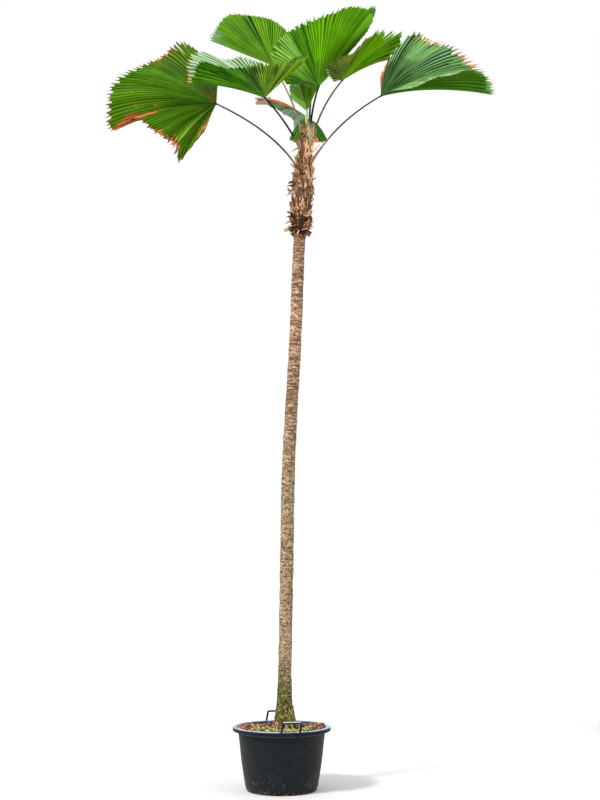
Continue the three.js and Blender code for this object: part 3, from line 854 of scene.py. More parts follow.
def sheath(tier, plate):
    """One leaf base: radius = trunk + stand-off * (flare * up^1.6 + step of the stave + curl of the top).

    Round the plate it is split into broad upright staves, each with its own step, height and shade. The
    stalk's stump is a thicker band up the middle that bulges out and stands above the torn edge.
    """
    seed = 100 + tier * PER_TIER + plate
    dice = np.random.default_rng(seed)
    rows, columns = SHEATH_GRID
    up, across = np.meshgrid(np.linspace(0, 1, rows), np.linspace(-0.5, 0.5, columns), indexing="ij")
    stave = (across + 0.5 + 0.02 * ripple(seed + 4, 4, up * 2, across * 3)) * STAVES
    number = np.clip(stave.astype(int), 0, STAVES - 1)

    def per_stave(low, high):
        return dice.uniform(low, high, STAVES)[number]

    edge = np.minimum(stave % 1.0, 1 - stave % 1.0)
    gap = np.exp(-((edge / STAVE_GAP) ** 2))
    stump = np.exp(-((across / STUMP_WIDTH) ** 4))
    torn = per_stave(*TORN_TOP) + 0.1 * ripple(seed + 50, 8, across * 30)
    reach = 0.72 - 0.3 * np.abs(across) + torn + stump * dice.uniform(0.1, 0.26)
    z = TIER_FIRST + tier * TIER_RISE + SHEATH_HEIGHT * up * np.clip(reach, 0.3, 1.04)
    middle = math.radians(tier * TIER_TURN + plate * 360 / PER_TIER)
    spread = math.radians(SHEATH_ANGLE) * (1 - 0.35 * up)
    angle = middle + across * spread + 0.05 * up * ripple(seed + 1, 4, up * 2)
    flare = (FLARE_LOW + (FLARE_TOP - FLARE_LOW) * tier / (TIERS - 1)) * up**1.6
    stave_step = per_stave(*STAVE_STEP) * np.clip(up * 2, 0, 1)
    curl = np.clip(up - 0.66, 0, 1) ** 1.5 * (per_stave(*TOP_CURL) + 10 * ripple(seed + 3, 6, across * 20))
    out = 3 + flare + stave_step + curl * (1 - 0.6 * stump)
    radius = trunk_radius(z) + 2 + stand_off(z) * out + 3 * (stump - gap) * up
    points = on_trunk(z, radius, angle).reshape(-1, 3)
    normals = np.stack([np.cos(angle), np.sin(angle), 0 * angle], axis=-1).reshape(-1, 3)
    thick = (SHEATH_THICK + STUMP_THICK * stump + FOOT_THICK * (1 - up)).ravel()
    split = ((np.diff(number, axis=1) != 0) & (up > per_stave(*SPLIT_FROM))[:, :-1])[:-1]
    used, quads = np.unique(grid_quads(rows, columns)[~split.ravel()], return_inverse=True)
    solid, faces, rim = thicken(points[used], normals[used], quads.reshape(-1, 4), thick[used])
    marks = sheet_marks(used, across=across, up=up, gap=gap, stave=per_stave(0, 1))
    marks["inner"] = np.repeat([0.0, 1.0], len(used))
    return solid, faces, rim, marks


def sheath_fibre(name, colour):
    """Dry woven fibre: staves of differing shade, lengthwise streaks, paler torn tips, and painted shade in
    the gaps between staves, at the foot where the tier below covers it, in scattered pits and on the inner
    face.
    """
    finish = Finish(name)
    up, stave, gap, inner = (finish.mark(key) for key in ("up", "stave", "gap", "inner"))
    grain = finish.grain(finish.mark("across") * 16, up * 2.2, 4.0, 0.65, 2.0)
    cloud = finish.noise((1, 1, 1), 34, 3)
    painted_pit_shade = finish.noise((1, 1, 0.6), 42, 3, 0.6)
    dark, pale = linear(colour, 0.3), linear(colour, 1.25)
    tier_shade = 1 - step(up + (grain - 0.5) * 0.3, 0.0, 0.22)
    shade = finish.coats(
        finish.mix(step(grain, 0.36, 0.5), dark, linear(colour)),
        (step(stave + (cloud - 0.5) * 1.6, 0.4, 0.8) * 0.75, pale),
        (step(0.6 - stave + (cloud - 0.5), 0.4, 0.7) * 0.5, dark),
        (step(up, 0.8, 1.0) * 0.5, pale),
        # painted shade: the gaps between staves, the foot under the tier below, scattered pits and the inner
        # face
        ((gap * 0.95 + tier_shade * 0.5).clamp(), (36, 21, 15)),
        (step(painted_pit_shade, 0.54, 0.6) * 0.85, (46, 27, 19)),
        (inner * 0.35, dark),
    )
    return finish.end(shade, 0.88, (0.8, 0.003, grain + cloud * 0.4), 0.12)


def mat():
    """Sleeve of matted fibre under the plates, drawn in at both ends.

    Radius = trunk + stand-off * (half the plates' flare + upright ridges).
    """
    rows, sides = MAT_GRID
    around = np.linspace(0, 2 * math.pi, sides, endpoint=False)
    up, angle = np.meshgrid(np.linspace(0, 1, rows), around, indexing="ij")
    z = TIER_FIRST - 4 + (MAT_TOP - TIER_FIRST) * up
    flare = FLARE_LOW + (FLARE_TOP - FLARE_LOW) * up
    close = np.clip(np.minimum(up / 0.03, (1 - up) / 0.02), 0, 1)
    u, v = np.cos(angle), np.sin(angle)
    ridges = 2.5 * ripple(61, 12, u * 3.5, v * 3.5, z / 120) + 2.5 * ripple(62, 9, u * 1.4, v * 1.4, z / 45)
    return on_trunk(z, trunk_radius(z) + 2 + close * (0.5 * flare + ridges) * stand_off(z), angle)


def mat_fibre():
    """Matted brown fibre with upright tan strands and dark hollows of painted shade, weaker near the top."""
    finish = Finish("mat_fibre")
    strand = finish.noise((1, 1, 0.14), 110, 3, 0.6)
    cloud = finish.noise((1, 1, 0.7), 30, 3, 0.6)
    painted_hollow_shade = step(cloud, 0.52, 0.62) * (0.8 - step(finish.axis(2), 4.22, 4.4) * 0.5)
    fibre = finish.mix(step(strand, 0.36, 0.6), (80, 50, 36), (208, 160, 120))
    return finish.end(finish.mix(painted_hollow_shade, fibre, (48, 28, 20)), 0.9, (0.9, 0.004, strand + cloud), 0.12)


def young_sheath(size):
    """Papery sleeve round the newest stalks: foot's radius + flare * up + creases, with a torn level top."""
    rows, columns = YOUNG_SHEATH_GRID
    around = np.linspace(0, 2 * math.pi, columns)
    up, angle = np.meshgrid(np.linspace(0, 1, rows), around, indexing="ij")
    u, v = np.cos(angle), np.sin(angle)
    torn = 12 * ripple(66, 10, u * 6, v * 6) + 6 * ripple(67, 8, u * 16, v * 16)
    creases = 2.4 * ripple(68, 12, u * 7, v * 7, up * 1.5) + 1.2 * ripple(69, 8, u * 2, v * 2, up * 6)
    radius = size["radius"] + size["flare"] * up + creases
    x = size["x"] + size["lean"] * up + radius * u
    z = size["foot"] + (size["height"] + torn) * up
    points = np.stack([x, radius * v, z], axis=-1).reshape(-1, 3)
    normals = np.stack([u, v, 0 * u], axis=-1).reshape(-1, 3)
    solid, faces, rim = thicken(points, normals, grid_quads(rows, columns), YOUNG_SHEATH_THICK)
    straw = np.clip(0.5 + (u - 0.06 - 0.12 * ripple(70, 6, up * 3)) * 3.5, 0, 1)
    return solid, faces, rim, sheet_marks(slice(None), straw=straw, round=angle / 2 / math.pi, up=up)


def woven():
    """Woven brown sheath on one side, straw-coloured ribs on the other, with dark gaps and small holes."""
    finish = Finish("woven_sheath")
    straw = finish.mark("straw")
    rib = finish.grain(finish.mark("round") * 60, finish.mark("up") * 1.6, 3.0, 0.6)
    cloud = finish.noise((1, 1, 0.8), 60, 3, 0.6)
    brown = finish.mix(step(rib * 0.6 + cloud * 0.4, 0.4, 0.58), (104, 72, 50), (190, 152, 112))
    ribbed = finish.mix(step(rib, 0.38, 0.6), (150, 118, 66), (234, 220, 168))
    holes = step(cloud, 0.54, 0.58) * (0.9 - straw * 0.4)
    shade = finish.coats(brown, (straw, ribbed), (holes, (52, 32, 22)))
    return finish.end(shade, 0.85, (0.8, 0.003, rib + cloud * 0.4), 0.12)


def ribbon(base, out, flat, length, width, sag, twist, sharpness, thick=2.2):
    """Ribbons of husk: base + length * ((share - 0.2) * out + sag * share^2 * down), six points round.

    A fifth of each is rooted in what it grows from. The flat is square to the way it leaves, then turned
    about it by the twist. The end runs from broken off square, at sharpness 0, to torn to a point that
    leans aside, at 1.
    """
    face = np.cross(out, flat)
    share = np.linspace(0, 1, 8)
    line = share[None, :, None] * out[:, None] - (sag[:, None] * share**2)[..., None] * face[:, None]
    centre = base[:, None] + length[:, None, None] * (line - 0.2 * out[:, None])
    turned = np.cos(twist)[:, None] * flat + np.sin(twist)[:, None] * face
    face = np.cross(out, turned)
    square = np.array([0.8, 1.0, 1.0, 1.0, 1.0, 0.95, 0.85, 0.5])
    torn = np.array([0.7, 0.95, 1.0, 0.95, 0.8, 0.58, 0.32, 0.05])
    wide = square + (torn - square) * sharpness[:, None]
    lean = (sharpness * np.sign(twist) * width * 0.5)[:, None] * share**3
    centre = centre + lean[..., None] * turned[:, None]
    angle = np.arange(6) * math.pi / 3
    angle = angle[None, None, :, None]
    across = np.cos(angle) * (width[:, None] * wide)[:, :, None, None] * turned[:, None, None]
    depth = np.sin(angle) * (thick * wide)[:, :, None, None] * face[:, None, None]
    return centre[:, :, None] + across + depth


def strips(seed, count, low, high, stand, turned, rise, length, width):
    """Small husks that leave the column between two heights and lean out, some broken off, some pointed."""
    dice = np.random.default_rng(seed)
    z = dice.uniform(low, high, count)
    heading = dice.uniform(0, 2 * math.pi, count)
    radius = trunk_radius(z) + 4 + stand * dice.uniform(0.7, 1.1, count) * stand_off(z)
    lift = rise[1] - (rise[1] - rise[0]) * dice.uniform(0, 1, count) * np.where(z > 4100, stand_off(z), 1)
    out, flat = aim(dice.uniform(-turned, turned, count) + heading, lift)
    flat[:, 2] = dice.uniform(-0.5, 0.5, count)
    flat = unit(flat - out * (flat * out).sum(1)[:, None])
    limits = (length, width, HUSK_SAG, HUSK_TWIST, HUSK_SHARPNESS)
    drawn = (dice.uniform(*limit, count) for limit in limits)
    return ribbon(on_trunk(z, radius, heading), out, flat, *drawn)


def flaps(rows):
    """Large torn flaps, one ribbon to a row of the table."""
    z, foot, heading, lift, length, width, sag, twist = np.array(rows, float).T
    foot, heading, lift, twist = np.radians([foot, heading, lift, twist])
    base = on_trunk(z, trunk_radius(z) + 4 + 22 * stand_off(z), foot)
    return ribbon(base, *aim(heading, lift), length, width, sag, twist, 0.6 * (length % 7) / 7, 2.6)


def fibres(seed):
    """Loose fibres: base + length * (share * out + share^2 * random bend), as thin three-sided threads."""
    dice = np.random.default_rng(seed)
    z = dice.uniform(3740, 4520, FIBRES)
    heading = dice.uniform(0, 2 * math.pi, FIBRES)
    radius = trunk_radius(z) + dice.uniform(8, 30, FIBRES) * stand_off(z)
    rise = dice.uniform(-0.7, 1.5, FIBRES)
    out, across = aim(heading + dice.uniform(-1.4, 1.4, FIBRES), rise)
    face = np.cross(out, across)
    length = dice.uniform(14, 44, FIBRES)[:, None, None]
    bend = dice.uniform(-0.5, 0.5, (FIBRES, 2, 1, 1))
    share = np.linspace(0, 1, 6)[None, :, None]
    line = share * out[:, None] + share**2 * (bend[:, 0] * across[:, None] + bend[:, 1] * face[:, None])
    centre = on_trunk(z, radius, heading)[:, None] + length * line
    angle = (np.arange(3) * 2 * math.pi / 3)[:, None]
    ring = np.cos(angle) * across[:, None] + np.sin(angle) * face[:, None]
    return centre[:, :, None] + ring[:, None] * np.linspace(0.9, 0.25, 6)[None, :, None, None]


def husk(name, colour):
    """Dry husk of one colour with upright streaks and a few dark hollows of painted shade."""
    finish = Finish(name)
    strand = finish.noise((1, 1, 0.2), 130, 3, 0.6)
    painted_hollow_shade = step(finish.noise((1, 1, 0.7), 48, 2), 0.56, 0.62) * 0.85
    streaked = finish.mix(step(strand, 0.38, 0.52), linear(colour, 0.5), linear(colour))
    return finish.end(finish.mix(painted_hollow_shade, streaked, (56, 34, 25)), 0.88, (0.7, 0.002, strand), 0.12)


sheath_finishes = [sheath_fibre(f"sheath_{k}", shade) for k, shade in enumerate(SHEATH_SHADES)]
for tier in range(TIERS):
    for plate in range(PER_TIER):
        solid, faces, rim, marks = sheath(tier, plate)
        finish = sheath_finishes[(tier * 2 + plate * 3) % len(sheath_finishes)]
        node = f"leaf_base_{tier + 1}_{plate + 1}"
        name = f"sheath_{tier + 1}_{plate + 1}"
        new_piece(name, solid, faces, finish, "leaf_base_fibre", [node], rim, **marks)
new_piece("fibre_mat", *skin(mat()[None]), mat_fibre(), "leaf_base_fibre")
solid, faces, rim, marks = young_sheath(YOUNG_SHEATH)
new_piece("young_sheath", solid, faces, woven(), "leaf_base_fibre", (), rim, **marks)
for shade, (colour, seed, count) in SHINGLES.items():
    shingles = strips(seed, count, *SHINGLE_SPREAD)
    new_piece(f"shingles_{shade}", *skin(shingles), husk(f"shingle_{shade}", colour), "leaf_base_fibre")
for shade, (colour, seed, count) in NEST.items():
    nest = strips(seed, count, *NEST_SPREAD)
    new_piece(f"nest_{shade}", *skin(nest), husk(f"nest_{shade}", colour), "leaf_base_fibre")
for shade, colour in FLAP_SHADES.items():
    new_piece(f"flaps_{shade}", *skin(flaps(FLAPS[shade])), husk(f"flap_{shade}", colour), "leaf_base_fibre")
new_piece("sheath_fibres", *skin(fibres(78)), crumb("loose_fibre", FIBRE_BROWN), "leaf_base_fibre")


# Fronds
# Eight full fans and one young leaf, each a slender stalk, a knob where the ribs meet, and a blade of living
# leaf, folded into pleats as it grew. A pleated sheet is worked out from the rib tips and thickened; split
# valleys are left open, and marks on it tell its finish where it is dead or bleached, and where light, shade
# and a sheen of the sky are painted on it.
#
# FRONDS has the solids' own sizes, so that blade and solid fill the same space: the stalk's foot, bow and
# hub, how far the ribs arch up, the number of pleats, and rib tips measured from the hub, counterclockwise
# as the upper face is seen.
FRONDS = {
    "left": {
        "foot": (104.6, -5, 4230), "bow": (-55, -60, 4480), "hub": (-460, -150, 4645),
        "arch": 30, "pleats": 66,
        "tips": [
            (0, 330, 400), (-290, 330, 590), (-440, 240, 430), (-630, 130, 300), (-750, 40, 150),
            (-760, -50, -20), (-712, -140, -262), (-566, -160, -180), (-410, -240, -290), (-280, -300, -420),
            (-220, -340, -550), (-150, -280, -420), (-70, -200, -270),
        ],
    },
    "front_left": {
        "foot": (118, -22, 4370), "bow": (30, -190, 4505), "hub": (-115, -420, 4585),
        "arch": 30, "pleats": 84,
        "tips": [
            (-30, 330, 390), (-180, 340, 440), (-330, 280, 380), (-460, 200, 420), (-540, 80, 300),
            (-510, -60, 90), (-420, -260, 150), (-210, -400, 50), (-10, -460, 58), (280, -220, 180),
            (250, 0, 300), (110, 120, 270),
        ],
    },
    "back_left": {
        "foot": (134, 15, 4490), "bow": (80, 110, 4775), "hub": (-75, 250, 5085),
        "arch": 6, "pleats": 84,
        "tips": [
            (230, -60, -100), (290, 20, 50), (230, 120, 200), (110, 240, 370), (-30, 300, 490),
            (-210, 300, 530), (-360, 220, 490), (-455, 100, 305), (-476, 20, 196),
        ],
    },
    "front": {
        "foot": (190, -26, 4470), "bow": (205, -110, 4655), "hub": (250, -250, 4730),
        "arch": 30, "pleats": 62,
        "tips": [
            (-240, 220, 100), (-340, 180, 300), (-270, 60, 380), (-150, -120, 390), (-50, -240, 390),
            (140, -360, 400), (240, -340, 430), (340, -250, 450), (390, -130, 460), (290, 60, 360),
            (190, 150, 250),
        ],
    },
    "front_right": {
        "foot": (201, -12, 4400), "bow": (250, -50, 4650), "hub": (415, -120, 4825),
        "arch": 30, "pleats": 46,
        "tips": [
            (-70, -250, -110), (-110, -390, -70), (-70, -430, -30), (100, -380, 80), (200, -250, 230),
            (290, -100, 330), (370, 0, 360), (450, 100, 390), (420, 200, 340), (340, 250, 260),
        ],
    },
    "right": {
        "foot": (199, -5, 4270), "bow": (375, -25, 4565), "hub": (690, -50, 4740),
        "arch": 30, "pleats": 74,
        "tips": [
            (90, -400, -120), (290, -480, -80), (450, -440, -20), (610, -340, 50), (720, -240, 50),
            (780, -120, -50), (800, -20, 80), (740, 80, 220), (630, 170, 370), (530, 260, 490),
            (420, 330, 540), (290, 360, 640), (140, 350, 520), (10, 200, 230),
        ],
    },
    "back": {
        "foot": (164, 45, 4400), "bow": (165, 90, 4585), "hub": (185, 200, 4660),
        "arch": 110, "pleats": 46,
        "tips": [
            (150, 350, -50), (30, 400, -50), (-90, 350, -60), (-150, 350, -30), (-110, 380, 50),
            (-120, 380, 120), (-260, 240, 170), (-400, 0, 160),
        ],
    },
    "back_right": {
        "foot": (188, 28, 4470), "bow": (185, 140, 4820), "hub": (240, 380, 5150),
        "arch": 30, "pleats": 56,
        "tips": [
            (220, 60, 40), (290, 150, 250), (280, 230, 450), (160, 300, 530), (20, 320, 500),
            (-120, 300, 420), (-210, 220, 300), (-270, 120, 120), (-220, 20, -50),
        ],
    },
    "young": {
        "foot": (166, 0, 4502.6), "bow": (165, -15, 4580), "hub": (170, -20, 4640),
        "arch": 0, "pleats": 24,
        "tips": [
            (82, -60, 160), (45, -100, 160), (-5, -40, 190), (-50, 40, 225), (-120, 60, 225),
            (-120, 20, 110),
        ],
    },
}
PHASES = np.array([-1.0, -0.5, -0.2, 0.0, 0.2, 0.5])  # points across one pleat, from valley to ridge and on
BLADE_ROWS = 28
BLADE_THICK = 1.4
BLADE_START = 8
ARCH_RIB = 600  # length of a rib that rises by just the frond's arch
PLEAT_SLOPE = 0.8
RUFFLE = 7
STALK_ROWS = 40
STALK_SIDES = 14
STALK_THICK = (8.2, 6.0)
YOUNG_STALK_THICK = (12, 9)
BROWN_FOOT_SWELL = 20
KNOB = {"beyond": [4, 9, 13], "radii": [5.5, 7.5, 7.5, 6.5, 2.0]}

# How each blade has grown, as pairs of a place round the fan from 0 to 1 and a value there. teeth: how deep
# they are cut, in millimetres; crowd: how closely the pleats stand; steep: how steep the pleats are; splits:
# the valleys that have split, each with the share of the rib beside it, from the rim inwards, that is free.
EVEN = [(0, 1), (1, 1)]
HABITS = {
    "left": {
        "teeth": [
            (0, 20), (0.1, 34), (0.18, 34), (0.24, 16), (0.3, 30), (0.36, 46), (0.42, 46), (0.46, 34),
            (0.62, 28), (0.7, 22), (0.86, 24), (0.9, 44), (0.95, 44), (0.97, 14), (1, 10),
        ],
        "splits": [(0.135, 0.16), (0.16, 0.28), (0.185, 0.14), (0.395, 0.08), (0.925, 0.1)],
    },
    "front_left": {
        "teeth": [
            (0, 30), (0.08, 40), (0.12, 24), (0.2, 40), (0.28, 14), (0.5, 20), (0.56, 34), (0.68, 56),
            (0.8, 56), (0.92, 36), (1, 18),
        ],
        "steep": [(0, 1.2), (0.3, 0.7), (0.55, 0.8), (0.65, 1.3), (1, 1.2)],
        "splits": [
            (0.04, 0.14), (0.17, 0.14), (0.53, 0.1), (0.58, 0.12), (0.64, 0.2), (0.68, 0.24), (0.72, 0.18),
            (0.77, 0.14), (0.82, 0.12),
        ],
    },
    "back_left": {
        "teeth": [(0, 14), (0.85, 15), (0.92, 24), (1, 24)],
        "steep": [(0, 0.8), (1, 0.8)],
        "splits": [(0.945, 0.12)],
    },
    "front": {
        "crowd": [(0, 50), (0.6, 50), (0.63, 92), (0.76, 92), (0.8, 70), (1, 70)],
        "teeth": [(0, 14), (0.3, 16), (0.42, 18), (0.46, 34), (0.58, 34), (0.62, 14), (0.76, 12), (1, 10)],
        "steep": [(0, 0.9), (0.1, 1.6), (0.28, 1.6), (0.34, 0.8), (0.62, 0.8), (1, 1)],
    },
    "front_right": {
        "crowd": [(0, 60), (0.5, 60), (0.6, 32), (1, 30)],
        "teeth": [(0, 10), (0.1, 14), (0.5, 18), (0.62, 40), (0.86, 50), (0.92, 14), (1, 8)],
        "splits": [(0.68, 0.12), (0.72, 0.16), (0.765, 0.2), (0.8, 0.22), (0.835, 0.38), (0.87, 0.1)],
    },
    "right": {
        "crowd": [
            (0, 74), (0.58, 74), (0.62, 46), (0.73, 46), (0.76, 80), (0.84, 80), (0.87, 42), (0.95, 42),
            (1, 60),
        ],
        "teeth": [
            (0, 16), (0.06, 34), (0.3, 38), (0.45, 34), (0.54, 26), (0.58, 64), (0.64, 72), (0.7, 66),
            (0.8, 62), (0.84, 40), (0.9, 22), (1, 10),
        ],
        "steep": [
            (0, 0.8), (0.5, 0.8), (0.6, 1.3), (0.65, 1.9), (0.71, 1.9), (0.75, 0.8), (0.82, 0.9),
            (0.86, 1.8), (0.93, 1.6), (1, 0.9),
        ],
        "splits": [
            (0.605, 0.16), (0.63, 0.26), (0.655, 0.18), (0.68, 0.1), (0.74, 0.09), (0.79, 0.12),
            (0.82, 0.08),
        ],
    },
    "back": {"teeth": [(0, 12), (1, 16)], "splits": [(0.38, 0.3), (0.9, 0.12)]},
    "back_right": {"teeth": [(0, 16), (0.5, 26), (1, 18)], "splits": [(0.3, 0.1), (0.62, 0.14)]},
    "young": {"teeth": [(0, 6), (1, 8)], "steep": [(0, 0.6), (1, 0.6)]},
}
